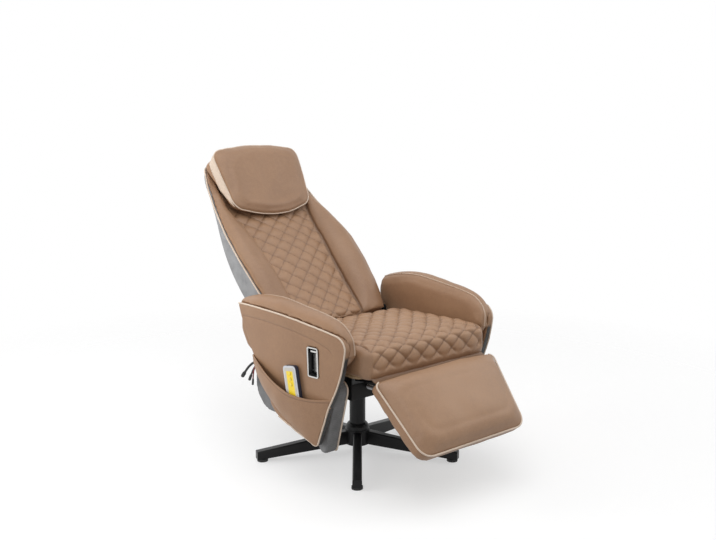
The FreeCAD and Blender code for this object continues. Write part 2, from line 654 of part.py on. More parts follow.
def bolt_spots():
    """Where the arm bolts cross the side plate."""
    height = value("deck_bottom - plate_depth / 2")
    return [(value("board_front_y") + along * value("board_length"), height) for along in BOLT_SHARES]


def surface_frame(y, z, proud, tilt):
    """A frame on the -X arm's outer face: x along the arm, y up it, z out of it."""
    step = value("turn_clearance")
    slope = (bow_x(y + step, z) - bow_x(y - step, z)) / (2 * step)
    out = Vector(-1, -slope, -value("arm_lean")).normalize()
    up = (Z_AXIS - out * Z_AXIS.dot(out)).normalize()
    along = up.cross(out)
    turn = Rotation(along, up, out, "ZXY")
    spot = Vector(-bow_x(y, z), y + value("axis_y"), z) + out * proud
    return Placement(spot, turn.multiply(Rotation(Z_AXIS, tilt)))


def box_between(low, high):
    """A box between two corners."""
    return Part.makeBox(high.x - low.x, high.y - low.y, high.z - low.z, low)


def middle_block(side, x):
    """The middle of the chair, up to a half width."""
    reach = value("base_radius") * 2
    low, high = sorted((-side * reach, side * x))
    return box_between(Vector(low, -reach, 0), Vector(high, reach, reach))


def make_arms():
    """Side boards, cores, outer panels, pads and bolts of both arms, and the pocket on the -X one."""
    kite = kite_prism(0)
    thick, margin = value("arm_panel_thickness"), value("core_margin")
    lever = surface_frame(value("lever_y"), value("lever_z"), 0, 0)
    lever.Base.y -= value("axis_y")
    wide = value("frame_width") / 2 - value("frame_rim") + value("cup_wall") + value("cup_fit")
    tall = value("frame_height") / 2 - value("frame_rim") + value("cup_wall") + value("cup_fit")
    spare = value("overrun")
    cup_hole = box_between(Vector(-wide, -tall, -value("cup_depth") - value("cup_fit")),
                           Vector(wide, tall, spare))
    cup_hole.Placement = lever.multiply(cup_hole.Placement)
    bolts = []
    radius = value("bolt_diameter") / 2
    for side, word in ((1, "left"), (-1, "right")):
        shanks = []
        for y, z in bolt_spots():
            start = Vector(side * value("plate_x"), y, z)
            reach = value("plate_thickness + board_thickness + bolt_bite")
            shank = Part.makeCylinder(radius, reach, start, X_AXIS * side)
            shanks.append(shank)
            head = Part.makeCone(value("bolt_head") / 2, radius, value("bolt_head_height"), start,
                                 X_AXIS * -side)
            bolts.append(shank.fuse(head).removeSplitter())
        board = board_prism(side)
        feature("side_board_" + word, board.cut(shanks))

        panel = kite.common(bowed_slab(side, 0, thick))
        core = kite_prism(margin).common(bowed_slab(side, thick, thick + value("board_x")))
        core = core.cut([middle_block(side, value("core_x"))] + shanks)
        if side < 0:
            panel = panel.cut(cup_hole)
            core = core.cut(cup_hole)
        feature("arm_core_" + word, core)
        feature("arm_panel_" + word, panel)
        cheek = arm_pad(side).cut([panel, core, board])
        feature("arm_pad_" + word, max(cheek.Solids, key=lambda solid: solid.Volume))
        if side < 0:
            make_pocket(panel)
    feature("arm_bolts", Part.makeCompound(bolts))


def arm_pad(side):
    """The padded top roll and inner cheek of an arm, before the panel and the core are taken out of it."""
    inner, roll = value("arm_inner_x"), value("arm_pad_roll")
    skin = value("arm_panel_thickness") / 2
    wires = []
    for along, crown, low in ARM_PAD_SHARES:
        y = arm_spot((along, 0)).y
        top, bottom = arm_spot((0, crown)).z, arm_spot((0, low)).z
        edge = top - roll * (0.6 + 0.4 * math.sin(math.pi * along))
        outer = bow_x(y, edge)
        spots = [(inner, bottom), (inner - value("arm_pad_side"), (bottom + edge) / 2), (inner, edge),
                 ((inner + outer) / 2, top), (outer, edge), (outer - skin, edge - skin / 2),
                 (outer - skin, bottom)]
        points = [Vector(side * x, y, z) for x, z in spots]
        wires.append(Part.Wire([arc(points[0], points[1], points[2]), arc(points[2], points[3], points[4]),
                                line(points[4], points[5]), line(points[5], points[6]),
                                line(points[6], points[0])]))
    return loft(wires)


def pocket_body(trim, low):
    """The pocket's outer bulge, or with a trim the room inside it, from a height up."""
    wires = []
    bulge, sink = value("pocket_bulge"), value("arm_panel_thickness") / 2
    hem = value("pocket_hem") if trim else 0
    for up, front, rear, share in POCKET_SLICE_SHARES:
        z = max(arm_spot((0, up)).z, low)
        start, end = arm_spot((front, 0)).y + hem, arm_spot((rear, 0)).y - hem
        middle = (start + end) / 2
        out = bulge * share - trim
        ring = [Vector(-bow_x(y, z) - proud, y, z) for y, proud in ((start, 0), (middle, out), (end, 0))]
        back = [Vector(-bow_x(y, z) + sink, y, z) for y in (start, end)]
        wires.append(Part.Wire([arc(*ring), line(ring[2], back[1]), line(back[1], back[0]),
                                line(back[0], ring[0])]))
    return loft(wires)


def make_pocket(panel):
    """A slack leather pocket sewn over the lower half of the -X panel, open along its sagging upper edge."""
    outer = pocket_body(0, 0)
    floor = value("pocket_floor_z")
    room = pocket_body(value("pocket_leather"), 0).cut(
        box_between(Vector(-value("seat_width"), -value("seat_front") * 2, 0),
                    Vector(0, value("seat_front"), floor)))
    spots = [arm_spot(shares, -value("seat_width")) for shares in POCKET_EDGE_SHARES]
    high = arm_spot((0, 1), -value("seat_width")).z
    rear_end, front_end = Vector(spots[0]), Vector(spots[-1])
    rear_end.y += value("overrun")
    front_end.y -= value("overrun")
    above = [Vector(end.x, end.y, high) for end in (front_end, rear_end)]
    wire = Part.Wire([line(rear_end, spots[0]), arc(spots[0], spots[1], spots[2]),
                      arc(spots[2], spots[3], spots[4]),
                      line(spots[4], front_end), line(front_end, above[0]), line(above[0], above[1]),
                      line(above[1], rear_end)])
    upper = Part.Face(wire).extrude(Vector(value("seat_width"), 0, 0))
    feature("side_pocket", outer.cut([room, panel, upper]))


# Release lever

def make_lever():
    """Chrome frame, black cup, pin and the pull lever in the -X arm."""
    place = surface_frame(value("lever_y"), value("lever_z"), 0, 0)

    def settle(body):
        body.setExpression("Placement.Base.y", None)
        body.Placement = place

    frame = new_body("lever_frame")
    outline = new_sketch(frame, "XY_Plane", "0")
    half_wide, half_tall = "frame_width / 2", "frame_height / 2"
    draw_loop(outline, [("-frame_width / 2", "-frame_height / 2"), (half_wide, "-frame_height / 2"),
                        (half_wide, half_tall), ("-frame_width / 2", half_tall)])
    pad(frame, outline, "frame_thickness")
    soften(frame, "frame_radius", runs_along(Z_AXIS))
    opening = new_sketch(frame, "XY_Plane", "0")
    wide, tall = "(frame_width / 2 - frame_rim)", "(frame_height / 2 - frame_rim)"
    draw_loop(opening, [("-" + wide, "-" + tall), (wide, "-" + tall), (wide, tall), ("-" + wide, tall)])
    pocket(frame, opening)
    settle(frame)

    cup = new_body("lever_cup")
    block = new_sketch(cup, "XY_Plane", "-cup_depth")
    wide_out = "(frame_width / 2 - frame_rim + cup_wall)"
    tall_out = "(frame_height / 2 - frame_rim + cup_wall)"
    draw_loop(block, [("-" + wide_out, "-" + tall_out), (wide_out, "-" + tall_out), (wide_out, tall_out),
                      ("-" + wide_out, tall_out)])
    pad(cup, block, "cup_depth")
    before = cup.Shape.Volume
    room = new_sketch(cup, "XY_Plane", "0")
    draw_loop(room, [("-" + wide, "-" + tall), (wide, "-" + tall), (wide, tall), ("-" + wide, tall)])
    hollow = cup.newObject("PartDesign::Pocket", "cup_room")
    hollow.Profile = room
    bind(hollow, Length="cup_depth - cup_wall")
    cup.Tip = hollow
    doc.recompute()
    if cup.Shape.Volume >= before:
        raise RuntimeError("lever_cup: its room cut nothing")
    bores = new_sketch(cup, "YZ_Plane", "0")
    draw_circle(bores, "-lever_pin_drop", "-lever_pin_depth", "lever_pin_diameter")
    pocket(cup, bores)
    settle(cup)

    pin = new_body("lever_pin")
    rod = new_sketch(pin, "YZ_Plane", "0")
    draw_circle(rod, "-lever_pin_drop", "-lever_pin_depth", "lever_pin_diameter")
    pad(pin, rod, "frame_width - 2 * frame_rim + 2 * cup_wall", both=True)
    settle(pin)

    lever = new_body("release_lever")
    side = new_sketch(lever, "YZ_Plane", "0")
    back, face = "-lever_pin_depth - lever_thickness / 2", "lever_thickness / 2 - lever_pin_depth"
    draw_loop(side, [("-lever_pin_drop - lever_thickness", back), ("lever_top - lever_lip / 2", back),
                     ("lever_top + lever_thickness", "%s + lever_lip" % back),
                     ("lever_top + lever_thickness", "%s + lever_lip" % face),
                     ("lever_top", "%s + lever_lip" % face),
                     ("lever_top - lever_lip / 2 - lever_thickness / 2", face),
                     ("-lever_pin_drop - lever_thickness", face)])
    pad(lever, side, "lever_width", both=True)
    knuckle = new_sketch(lever, "YZ_Plane", "0")
    draw_circle(knuckle, "-lever_pin_drop", "-lever_pin_depth", "2 * lever_pin_diameter")
    pad(lever, knuckle, "lever_width", both=True)
    bore = new_sketch(lever, "YZ_Plane", "0")
    draw_circle(bore, "-lever_pin_drop", "-lever_pin_depth", "lever_pin_diameter + turn_clearance")
    pocket(lever, bore)
    settle(lever)


# Handset

def rounded_plate(half, low, high, radius, start, thickness):
    """A flat plate with round corners."""
    corners = [Vector(-half, low, start), Vector(half, low, start), Vector(half, high, start),
               Vector(-half, high, start)]
    return Part.Face(rounded_loop(corners, [radius] * 4)).extrude(Vector(0, 0, thickness))


def make_handset():
    """Two shells, a coloured key panel and three keys, standing in the pocket."""
    place = surface_frame(value("handset_y"), value("handset_z"), value("handset_gap"), value("handset_tilt"))
    half, low = value("handset_width") / 2, -value("handset_below")
    high = low + value("handset_length")
    radius, rear, front = value("handset_radius"), value("handset_rear"), value("handset_front")
    shell = rounded_plate(half, low, high, radius, 0, rear)
    back_edges = [edge for edge in shell.Edges if edge.BoundBox.ZMax < rear / 2]
    feature("handset_rear", shell.makeFillet(rear / 3, back_edges), place)

    margin, recess = value("panel_margin"), value("panel_recess")
    proud = value("panel_proud")
    face = rounded_plate(half, low, high, radius, rear, front)
    bed = rounded_plate(half - margin, low + margin, high - margin, value("panel_radius"),
                        rear + front - recess, front)
    feature("handset_front", face.cut(bed), place)

    panel = rounded_plate(half - margin, low + margin, high - margin, value("panel_radius"),
                          rear + front - recess, recess + proud)
    keys, key_radius = [], value("key_diameter") / 2
    for index in range(3):
        spot = Vector(0, high - margin - value("key_drop") - index * value("key_pitch"),
                      rear + front - recess + value("key_bed") / 2)
        panel = panel.cut(Part.makeCylinder(key_radius + value("key_fit"), front, spot))
        keys.append(Part.makeCylinder(key_radius, value("key_height"), spot + Vector(0, 0, value("key_bed"))))
    feature("handset_panel", panel, place)
    for index, key in enumerate(keys, start=1):
        feature("handset_key_%d" % index, key, place)


# Leads

def lead_path(route):
    """Straight runs of a lead joined by the largest tangent arcs that they allow, and its least radius."""
    edges, start, least = [], route[0], None
    for before, spot, after in zip(route, route[1:], route[2:]):
        back, ahead = (before - spot), (after - spot)
        shorter = min(back.Length, ahead.Length)
        reach = 0.45 * shorter
        turn = math.pi - back.getAngle(ahead)
        radius = reach / math.tan(turn / 2)
        least = radius if least is None else min(least, radius)
        entry, leave = spot + back.normalize() * reach, spot + ahead.normalize() * reach
        inward = (back + ahead).normalize()
        middle = spot + inward * (radius / math.cos(turn / 2) - radius)
        edges += [line(start, entry), arc(entry, middle, leave)]
        start = leave
    edges.append(line(start, route[-1]))
    return Part.Wire(edges), least


def make_leads():
    """Three short leads that leave a gland between the -X panel and its side board."""
    leads = {"lead_power": ("power_lead", POWER_SHARES), "lead_motor": ("motor_lead", MOTOR_SHARES),
             "lead_red": ("red_lead", RED_SHARES)}
    wide, tall, thick = value("gland_width"), value("gland_height"), value("gland_thickness")
    corner = Vector(-value("core_x"), value("gland_y"), value("gland_z") - tall / 2)
    gland = Part.makeBox(wide / 2, thick, tall, corner - Vector(wide / 2, 0, 0))
    outer = corner.x - thick
    gland = gland.makeFillet(thick / 3, [edge for edge in gland.Edges if edge.BoundBox.YLength > thick / 2
                                         and edge.BoundBox.XMax < outer])
    feature("lead_gland", gland)
    ends = []
    for label, (name, shares) in leads.items():
        width = value(name)
        route = [corner + Vector(0, thick, 0) + Vector(*spot) * value("lead_reach") for spot in shares]
        path, least = lead_path(route)
        ahead = route[1] - route[0]
        tube = path.makePipeShell([Part.Wire(Part.makeCircle(width / 2, route[0], ahead))], True, False)
        mouth = Part.makeBox(wide, thick, 2 * tall, corner - Vector(wide, 0, tall / 2))
        expected = math.pi * width ** 2 / 4 * path.Length
        print(label, "length %.1f, least radius %.1f, volume share %.4f"
              % (path.Length, least, tube.Volume / expected))
        feature(label, tube.cut(mouth))
        leave = (route[-1] - route[-2]).normalize()
        ends.append(Part.makeCylinder(width * value("connector_share") / 2, value("connector_length"),
                                      route[-1], leave))
    feature("lead_connectors", Part.makeCompound(ends))


# Leg rest

def biarc(start, start_way, end, end_way):
    """Two tangent arcs between two points with given directions."""
    span = end - start
    both = start_way + end_way
    a = 2 * (1 - start_way.dot(end_way))
    b = 2 * span.dot(both)
    c = -span.dot(span)
    reach = (-b + math.sqrt(b * b - 4 * a * c)) / (2 * a)
    first, second = start + start_way * reach, end - end_way * reach
    joint = (first + second) / 2
    edges = []
    for low, apex, high in ((start, first, joint), (joint, second, end)):
        chord = (low + high) / 2
        half, rise = (low - chord).Length, (apex - chord).Length
        edges.append(arc(low, apex + (chord - apex) * (reach * (reach - half) / rise ** 2), high))
    return edges


def spring_solid(centre, way):
    """A close coil of round wire along a direction."""
    radius, wire_width = value("spring_diameter - spring_wire") / 2, value("spring_wire")
    turns, length = int(value("spring_turns")), value("spring_length")
    side = way.cross(X_AXIS).normalize()
    other = way.cross(side)
    pitch = length / turns

    def at(turn):
        angle = 2 * math.pi * turn
        spot = centre + way * (pitch * turn) + (side * math.cos(angle) + other * math.sin(angle)) * radius
        move = way * pitch + (other * math.cos(angle) - side * math.sin(angle)) * (2 * math.pi * radius)
        return spot, move.normalize()
    edges = []
    for quarter in range(turns * 4):
        edges += biarc(*at(quarter / 4), *at((quarter + 1) / 4))
    path = Part.Wire(edges)
    spot, move = at(0)
    coil = path.makePipeShell([Part.Wire(Part.makeCircle(wire_width / 2, spot, move))], True, False)
    samples = [at(step / 24)[0] for step in range(turns * 24)]
    gap = min((first - second).Length
              for index, first in enumerate(samples) for second in samples[index + 12:])
    return coil, gap - wire_width


def make_leg_rest_hinge():
    """Brackets, pins and springs on the seat, with the leaves on the leg rest."""
    pins, coils, rods, brackets, leaves = [], [], [], [], []
    place = Placement(Vector(0, value("axis_y + rest_pin_y"), value("rest_pin_z")),
                      Rotation(X_AXIS, value("rest_angle")))
    for side, word in ((1, "left"), (-1, "right")):
        bracket = new_body("leg_rest_bracket_" + word)
        brackets.append(pieces.pop())
        start = "bracket_x" if side > 0 else "-bracket_x - bracket_thickness"
        outline = new_sketch(bracket, "YZ_Plane", start)
        draw_loop(outline, [("rest_pin_y - bracket_eye", "rest_pin_z - bracket_eye"),
                            ("-front_tube_y - tube_diameter / 4", "tube_height - bracket_drop"),
                            ("-front_tube_y - tube_diameter / 4", "deck_bottom - turn_clearance"),
                            ("-deck_front", "deck_bottom - turn_clearance"),
                            ("rest_pin_y + bracket_eye", "rest_pin_z + bracket_eye"),
                            ("rest_pin_y - bracket_eye", "rest_pin_z + bracket_eye")])
        pad(bracket, outline, "bracket_thickness")
        nose = value("rest_pin_y")
        soften(bracket, "bracket_eye * 0.9",
               lambda edge: runs_along(X_AXIS)(edge) and edge.BoundBox.YMax < nose)
        holes = new_sketch(bracket, "YZ_Plane", "0")
        draw_circle(holes, "rest_pin_y", "rest_pin_z", "rest_pin_diameter")
        draw_circle(holes, "-front_tube_y", "tube_height", "tube_diameter")
        pocket(bracket, holes)
        pin = doc.addObject("Part::Cylinder", "leg_rest_pin")
        pin.Placement = Placement(Vector(), Rotation(Y_AXIS, 90))
        reach = "bracket_thickness + leaf_gap + leaf_width"
        bind(pin, Radius="rest_pin_diameter / 2", Height=reach,
             Placement__Base__x="bracket_x" if side > 0 else "-bracket_x - (%s)" % reach,
             Placement__Base__y="rest_pin_y", Placement__Base__z="rest_pin_z")
        pins.append(pin)

        leaf = new_body("leg_rest_leaf_" + word)
        leaves.append(pieces.pop())
        leaf.setExpression("Placement.Base.y", None)
        leaf.Placement = place
        start = "rest_knuckle_x" if side > 0 else "-rest_knuckle_x - leaf_width"
        strap = new_sketch(leaf, "YZ_Plane", start)
        under = "-rest_underside - leaf_thickness"
        draw_loop(strap, [("-leaf_reach", under), ("-rest_start + leaf_thickness", under),
                          ("leaf_knuckle / 2", "-leaf_knuckle * 0.85"),
                          ("-leaf_knuckle / 2", "leaf_knuckle * 0.85"),
                          ("-rest_start - leaf_thickness", "-rest_underside"),
                          ("-leaf_reach", "-rest_underside")])
        pad(leaf, strap, "leaf_width")
        knuckle = new_sketch(leaf, "YZ_Plane", start)
        draw_circle(knuckle, "0", "0", "2 * leaf_knuckle")
        pad(leaf, knuckle, "leaf_width")
        bore = new_sketch(leaf, "YZ_Plane", "0")
        draw_circle(bore, "0", "0", "rest_pin_diameter + 2 * turn_clearance")
        pocket(leaf, bore)

        root = Vector(side * value("spring_x"), -value("tray_front"),
                      value("tray_bottom + tray_lip - spring_diameter"))
        coil, gap = spring_solid(root - Y_AXIS * value("spring_wire"), -Y_AXIS)
        coils.append(coil)
        rod = Part.makeCylinder(value("rod_diameter") / 2, value("rod_length"), root, -Y_AXIS)
        head = Part.makeCylinder(value("spring_diameter") / 2, value("rod_head"),
                                 root - Y_AXIS * value("rod_length"),
                                 -Y_AXIS)
        rods.append(rod.fuse(head).removeSplitter())
    print("spring: least gap between turns %.2f" % gap)
    for label, links, home in (("leg_rest_pins", pins, "axis_y"), ("leg_rest_brackets", brackets, "0"),
                               ("leg_rest_leaves", leaves, "0")):
        group = doc.addObject("Part::Compound", label)
        group.Links = links
        bind(group, Placement__Base__y=home)
        pieces.append(group)
    feature("leg_rest_springs", Part.makeCompound(coils))
    feature("spring_rods", Part.makeCompound(rods))

    board = new_body("leg_rest_board")
    board.setExpression("Placement.Base.y", None)
    board.Placement = place
    outline = new_sketch(board, "XY_Plane", "-rest_underside")
    front = "-rest_start - rest_length + rest_board_margin"
    rear = "-rest_start - rest_board_margin"
    wide_front = "(rest_front_width / 2 - rest_board_margin)"
    wide_rear = "(rest_rear_width / 2 - rest_board_margin)"
    draw_loop(outline,
              [("-" + wide_front, front), (wide_front, front), (wide_rear, rear), ("-" + wide_rear, rear)])
    pad(board, outline, "rest_board_thickness")
    middle = value("-rest_start - rest_length / 2")
    soften(board, "rest_corner_radius - rest_board_margin",
           lambda edge: runs_along(Z_AXIS)(edge) and edge.BoundBox.YMax < middle)

    low = value("rest_board_thickness - rest_underside")
    thick, crown = value("rest_pad_thickness"), value("rest_crown")
    radii = [value("rest_corner_radius")] * 2 + [value("rest_heel_radius")] * 2
    cushion = pillow(value("rest_front_width") / 2, value("rest_rear_width") / 2,
                     -value("rest_start + rest_length"), -value("rest_start"), radii,
                     domed(crown, low, low + thick - crown / 2, crown / 2, 5 * crown, 0))
    feature("leg_rest_pad", cushion, place)


# Back

def back_place():
    """The back's own frame: x across, y up the back, z out of its front, on the recline hinge."""
    return Placement(Vector(0, value("axis_y + recline_y"), value("recline_z")),
                     Rotation(X_AXIS, 90 - value("back_angle")))


def back_station(name):
    """The lengths of one station of the back."""
    shares = BACK_SHARES[name]
    length, width, depth = value("back_length"), value("back_width"), value("back_depth")
    widths = [share * width for share in shares[1:3]]
    depths = [share * depth for share in shares[3:]]
    return [shares[0] * length] + widths + depths


def cushion_section(name):
    """One cross section of the quilted back cushion with its two bolsters."""
    up, half, seam, rim, quilt, bolster, depth, rear, edge, under = back_station(name)
    lip = half - value("back_lip")
    crest = (half + seam) / 2
    dip, swell = value("quilt_depth") / 2, value("quilt_depth")
    wall = (rim + bolster) / 2

    def at(x, z):
        return Vector(x, up, z)
    return Part.Wire([line(at(half, rim), at(half, wall)),
                      arc(at(half, wall), at(crest, bolster), at(seam, quilt - dip)),
                      arc(at(seam, quilt - dip), at(0, quilt + swell), at(-seam, quilt - dip)),
                      arc(at(-seam, quilt - dip), at(-crest, bolster), at(-half, wall)),
                      line(at(-half, wall), at(-half, rim)), line(at(-half, rim), at(-lip, rim)),
                      line(at(-lip, rim), at(-lip, edge)), arc(at(-lip, edge), at(0, under), at(lip, edge)),
                      line(at(lip, edge), at(lip, rim)), line(at(lip, rim), at(half, rim))])


def core_section(name):
    """The room under the quilted middle of one section, as deep as the sewn channels."""
    up, half, seam, rim, quilt, bolster, depth, rear, edge, under = back_station(name)
    sink = value("quilt_depth")
    side, top, floor = quilt - 1.5 * sink, quilt, rear - sink
    spots = [Vector(seam, up, side), Vector(0, up, top), Vector(-seam, up, side), Vector(-seam, up, floor),
             Vector(seam, up, floor)]
    return Part.Wire([arc(*spots[:3]), line(spots[2], spots[3]), line(spots[3], spots[4]),
                      line(spots[4], spots[0])])


def shell_section(name, trim):
    """One cross section of the grey back shell, or with a trim of the room inside it."""
    up, half, seam, rim, quilt, bolster, depth, rear, edge, under = back_station(name)
    wall = value("back_shell_wall")
    wide, narrow = half - trim, half - wall - trim
    high = rim + trim
    spots = [Vector(wide, up, high), Vector(narrow, up, rim - depth), Vector(0, up, rear + trim),
             Vector(-narrow, up, rim - depth), Vector(-wide, up, high)]
    return Part.Wire([line(spots[0], spots[1]), arc(spots[1], spots[2], spots[3]), line(spots[3], spots[4]),
                      line(spots[4], spots[0])])


def make_back():
    """Hinge arms, board, shell, cushion and motors of the back, and the head pillow."""
    place = back_place()
    names = list(BACK_SHARES)
    cushion = loft([cushion_section(name) for name in names])
    core = loft([core_section(name) for name in names])
    seams = [(back_station(name)[2] - value("quilt_groove"), back_station(name)[0]) for name in names]
    outline = [Vector(x, y, 0) for x, y in seams] + [Vector(-x, y, 0) for x, y in reversed(seams)]
    tall = value("back_depth")
    area = Part.Face(Part.makePolygon(outline + outline[:1])).extrude(Vector(0, 0, tall))
    low, high = seams[0][1], seams[-1][1]
    wide = max(x for x, y in seams)
    wall = value("back_shell_wall")
    outer = loft([shell_section(name, 0) for name in SHELL_STATIONS])
    shell = outer.cut(loft([shell_section(name, wall) for name in SHELL_STATIONS]))
    padding = quilted(cushion, core, area, wide, low, high, tall).cut(shell)
    feature("back_cushion", max(padding.Solids, key=lambda solid: solid.Volume), place)
    feature("back_shell", shell, place)

    board = new_body("back_board")
    board.setExpression("Placement.Base.y", None)
    board.Placement = place
    outline = new_sketch(board, "XY_Plane", "-back_board_gap - back_board_thickness")
    half = "(back_board_width / 2)"
    draw_loop(outline, [("-" + half, "back_board_bottom"), (half, "back_board_bottom"),
                        (half, "back_board_top * 0.6"),
                        (half + " * 0.6", "back_board_top"), ("-" + half + " * 0.6", "back_board_top"),
                        ("-" + half, "back_board_top * 0.6")])
    pad(board, outline, "back_board_thickness")

    for side, word in ((1, "left"), (-1, "right")):
        bar = new_body("back_hinge_arm_" + word)
        bar.setExpression("Placement.Base.y", None)
        bar.Placement = place
        start = "hinge_arm_x" if side > 0 else "-hinge_arm_x - hinge_arm_thickness"
        outline = new_sketch(bar, "YZ_Plane", start)
        top = "-back_board_gap - back_board_thickness"
        draw_loop(outline, [("-hinge_arm_eye", "-hinge_arm_eye"),
                            ("hinge_arm_eye", "-hinge_arm_eye - hinge_arm_eye / 2"),
                            ("back_board_bottom", "%s - hinge_arm_depth" % top),
                            ("hinge_arm_length * 0.6", "%s - hinge_arm_depth" % top),
                            ("hinge_arm_length", "%s - hinge_arm_depth / 3" % top), ("hinge_arm_length", top),
                            ("back_board_bottom", top), ("hinge_arm_eye", "hinge_arm_eye"),
                            ("-hinge_arm_eye", "hinge_arm_eye")])
        pad(bar, outline, "hinge_arm_thickness")
        soften(bar, "hinge_arm_eye * 0.8", lambda edge: runs_along(X_AXIS)(edge) and edge.BoundBox.YMax < 0)
        bore = new_sketch(bar, "YZ_Plane", "0")
        draw_circle(bore, "0", "0", "recline_pin_diameter + 2 * turn_clearance")
        pocket(bar, bore)

    make_motor_pair("back_motors", value("back_motor_x"), [value("back_motor_low"), value("back_motor_high")],
                    value("-back_board_gap - back_board_thickness"), place)
    bottom, length = value("pillow_bottom"), value("pillow_length")
    seat, crown = value("pillow_seat"), value("pillow_crown")
    thin, thick = value("pillow_low_thickness"), value("pillow_top_thickness")
    head = pillow(value("pillow_low_width") / 2, value("pillow_top_width") / 2, bottom, bottom + length,
                  [value("pillow_low_radius")] * 2 + [value("pillow_top_radius")] * 2,
                  domed(crown, seat, seat + thin - crown / 3, crown / 2, 1.6 * crown, thin - thick),
                  [value("pillow_low_bow"), 0, value("pillow_top_bow"), 0])
    feature("head_pillow", head, place)


make_base()
make_frame()
make_seat()
make_arms()
make_lever()
make_handset()
make_leads()
make_leg_rest_hinge()
make_back()
doc.recompute()

for thing in doc.Objects:
    if "Invalid" in thing.State or "Error" in thing.State:
        raise RuntimeError(thing.Label + " failed: " + ", ".join(thing.State))
for thing in pieces:
    if thing.Shape.isNull() or not thing.Shape.isValid():
        raise RuntimeError(thing.Label + " has no valid shape")
os.makedirs("parts", exist_ok=True)
for thing in pieces:
    thing.Shape.exportStep("parts/%s.step" % thing.Label)
everything = Part.makeCompound([thing.Shape for thing in pieces]).BoundBox
print("%d pieces, box %s" % (len(pieces), everything))
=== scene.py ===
"""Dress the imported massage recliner: leather upholstery, piping, leads, finishes, stage and camera."""

import json
import math

import bmesh
import bpy
import numpy as np
from mathutils import Matrix, Vector, noise
from mathutils.bvhtree import BVHTree


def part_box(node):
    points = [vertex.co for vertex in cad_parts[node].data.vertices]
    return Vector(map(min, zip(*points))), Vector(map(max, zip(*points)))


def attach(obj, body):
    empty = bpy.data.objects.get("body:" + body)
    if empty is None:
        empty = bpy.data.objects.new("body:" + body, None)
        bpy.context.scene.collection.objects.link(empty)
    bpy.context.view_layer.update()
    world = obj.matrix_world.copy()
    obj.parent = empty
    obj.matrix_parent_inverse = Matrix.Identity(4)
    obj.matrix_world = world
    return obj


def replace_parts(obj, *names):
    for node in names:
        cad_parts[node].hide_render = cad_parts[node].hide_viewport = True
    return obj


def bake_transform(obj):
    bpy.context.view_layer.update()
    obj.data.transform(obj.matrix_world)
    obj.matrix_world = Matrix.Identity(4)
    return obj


bl_info = {
    "name": "Massage recliner upholstery",
    "version": (1, 0, 0),
    "blender": (4, 5, 0),
    "location": "3D View > Sidebar > Recliner",
    "description": "Dresses the recliner's frame with upholstery, piping, leads and finishes",
    "category": "Object",
}

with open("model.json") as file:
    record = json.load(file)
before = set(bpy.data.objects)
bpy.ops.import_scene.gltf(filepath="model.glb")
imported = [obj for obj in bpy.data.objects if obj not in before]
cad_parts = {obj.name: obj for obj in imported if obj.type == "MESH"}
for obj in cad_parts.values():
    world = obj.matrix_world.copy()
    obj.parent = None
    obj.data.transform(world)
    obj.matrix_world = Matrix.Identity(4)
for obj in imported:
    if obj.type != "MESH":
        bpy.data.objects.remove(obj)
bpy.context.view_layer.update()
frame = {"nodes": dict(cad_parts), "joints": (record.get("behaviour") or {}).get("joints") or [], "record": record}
NODES = frame["nodes"]
JOINTS = {joint["name"]: joint for joint in frame["joints"]}

# The swivel axis, and frames at the two hinges that lie along the back and the leg rest
AXIS_Y = JOINTS["swivel"]["pos_m"][1]
BACK_HINGE = Vector(JOINTS["recline"]["pos_m"])
REST_HINGE = Vector(JOINTS["leg_rest_fold"]["pos_m"])
BACK_ANGLE = math.radians(46)
REST_ANGLE = math.radians(47)
BACK_FRAME = Matrix.Translation(BACK_HINGE) @ Matrix.Rotation(math.pi / 2 - BACK_ANGLE, 4, "X")
REST_FRAME = Matrix.Translation(REST_HINGE) @ Matrix.Rotation(REST_ANGLE, 4, "X")

# The camera, as fitted to the photograph
CAMERA_LENS = 46.9
CAMERA_SENSOR = 36.0
CAMERA_AZIMUTH = math.radians(-40.8)
CAMERA_ELEVATION = math.radians(10.1)
CAMERA_PLACE = (-1.982, AXIS_Y - 2.299, 1.164)

# Lamps: place, width and power
LAMPS = {
    "top": ((-0.3, -0.5, 3.1), 2.4, 30),
    "key": ((-1.8, -2.4, 2.9), 2.0, 25),
    "fill": ((2.4, -1.6, 2.2), 2.0, 20),
    "rim": ((0.4, 2.8, 2.6), 2.0, 12),
    "side": ((-2.1, 1.2, 1.0), 1.4, 34),
}
LAMP_AIM = Vector((0, 0, 0.5))
# This lamp lights the shell, and is left out of reflections, where it sparkles on the pillow's top
MATT_LAMP = "side"
SURROUND_LIGHT = 0.40
FLOOR_REACH = 30.0
FLOOR_TONE = (0.52, 0.52, 0.52)
FLOOR_GLOW = (0.49, 0.49, 0.49)
# The floor fades into the white surround between these distances from the origin
FLOOR_FADE = (0.9, 2.4)

# Bow of the arm's outer face, seen from above, and its lean inwards below the arm's top
BOW_CENTRE = (-1.0904, AXIS_Y + 0.0156)
BOW_RADIUS = 1.4489
ARM_LEAN = 0.035
ARM_LEAN_TOP = 0.52

# The seam below the arm's top: place along the arm, from the swivel axis, and height
ARM_SEAM = ([-0.280, -0.250, -0.200, -0.120, -0.049, 0.039, 0.135, 0.175],
            [0.440, 0.463, 0.479, 0.492, 0.498, 0.501, 0.497, 0.492])
ARM_SEAM_WIDTH = 0.0024
ARM_SEAM_DEPTH = 0.0018
# It fades in along the first stretch, at the front, and out along the second
ARM_SEAM_FRONT = (-0.275, -0.260)
ARM_SEAM_REAR = (0.150, 0.165)
# Heights between which the painted shade on the panel's front edge fades out
EDGE_SHADE_TOP = (0.435, 0.450)
# The arm's rear edge, which has no piping: behind this place and below this height
ARM_REAR_Y = -0.02
ARM_REAR_Z = 0.522

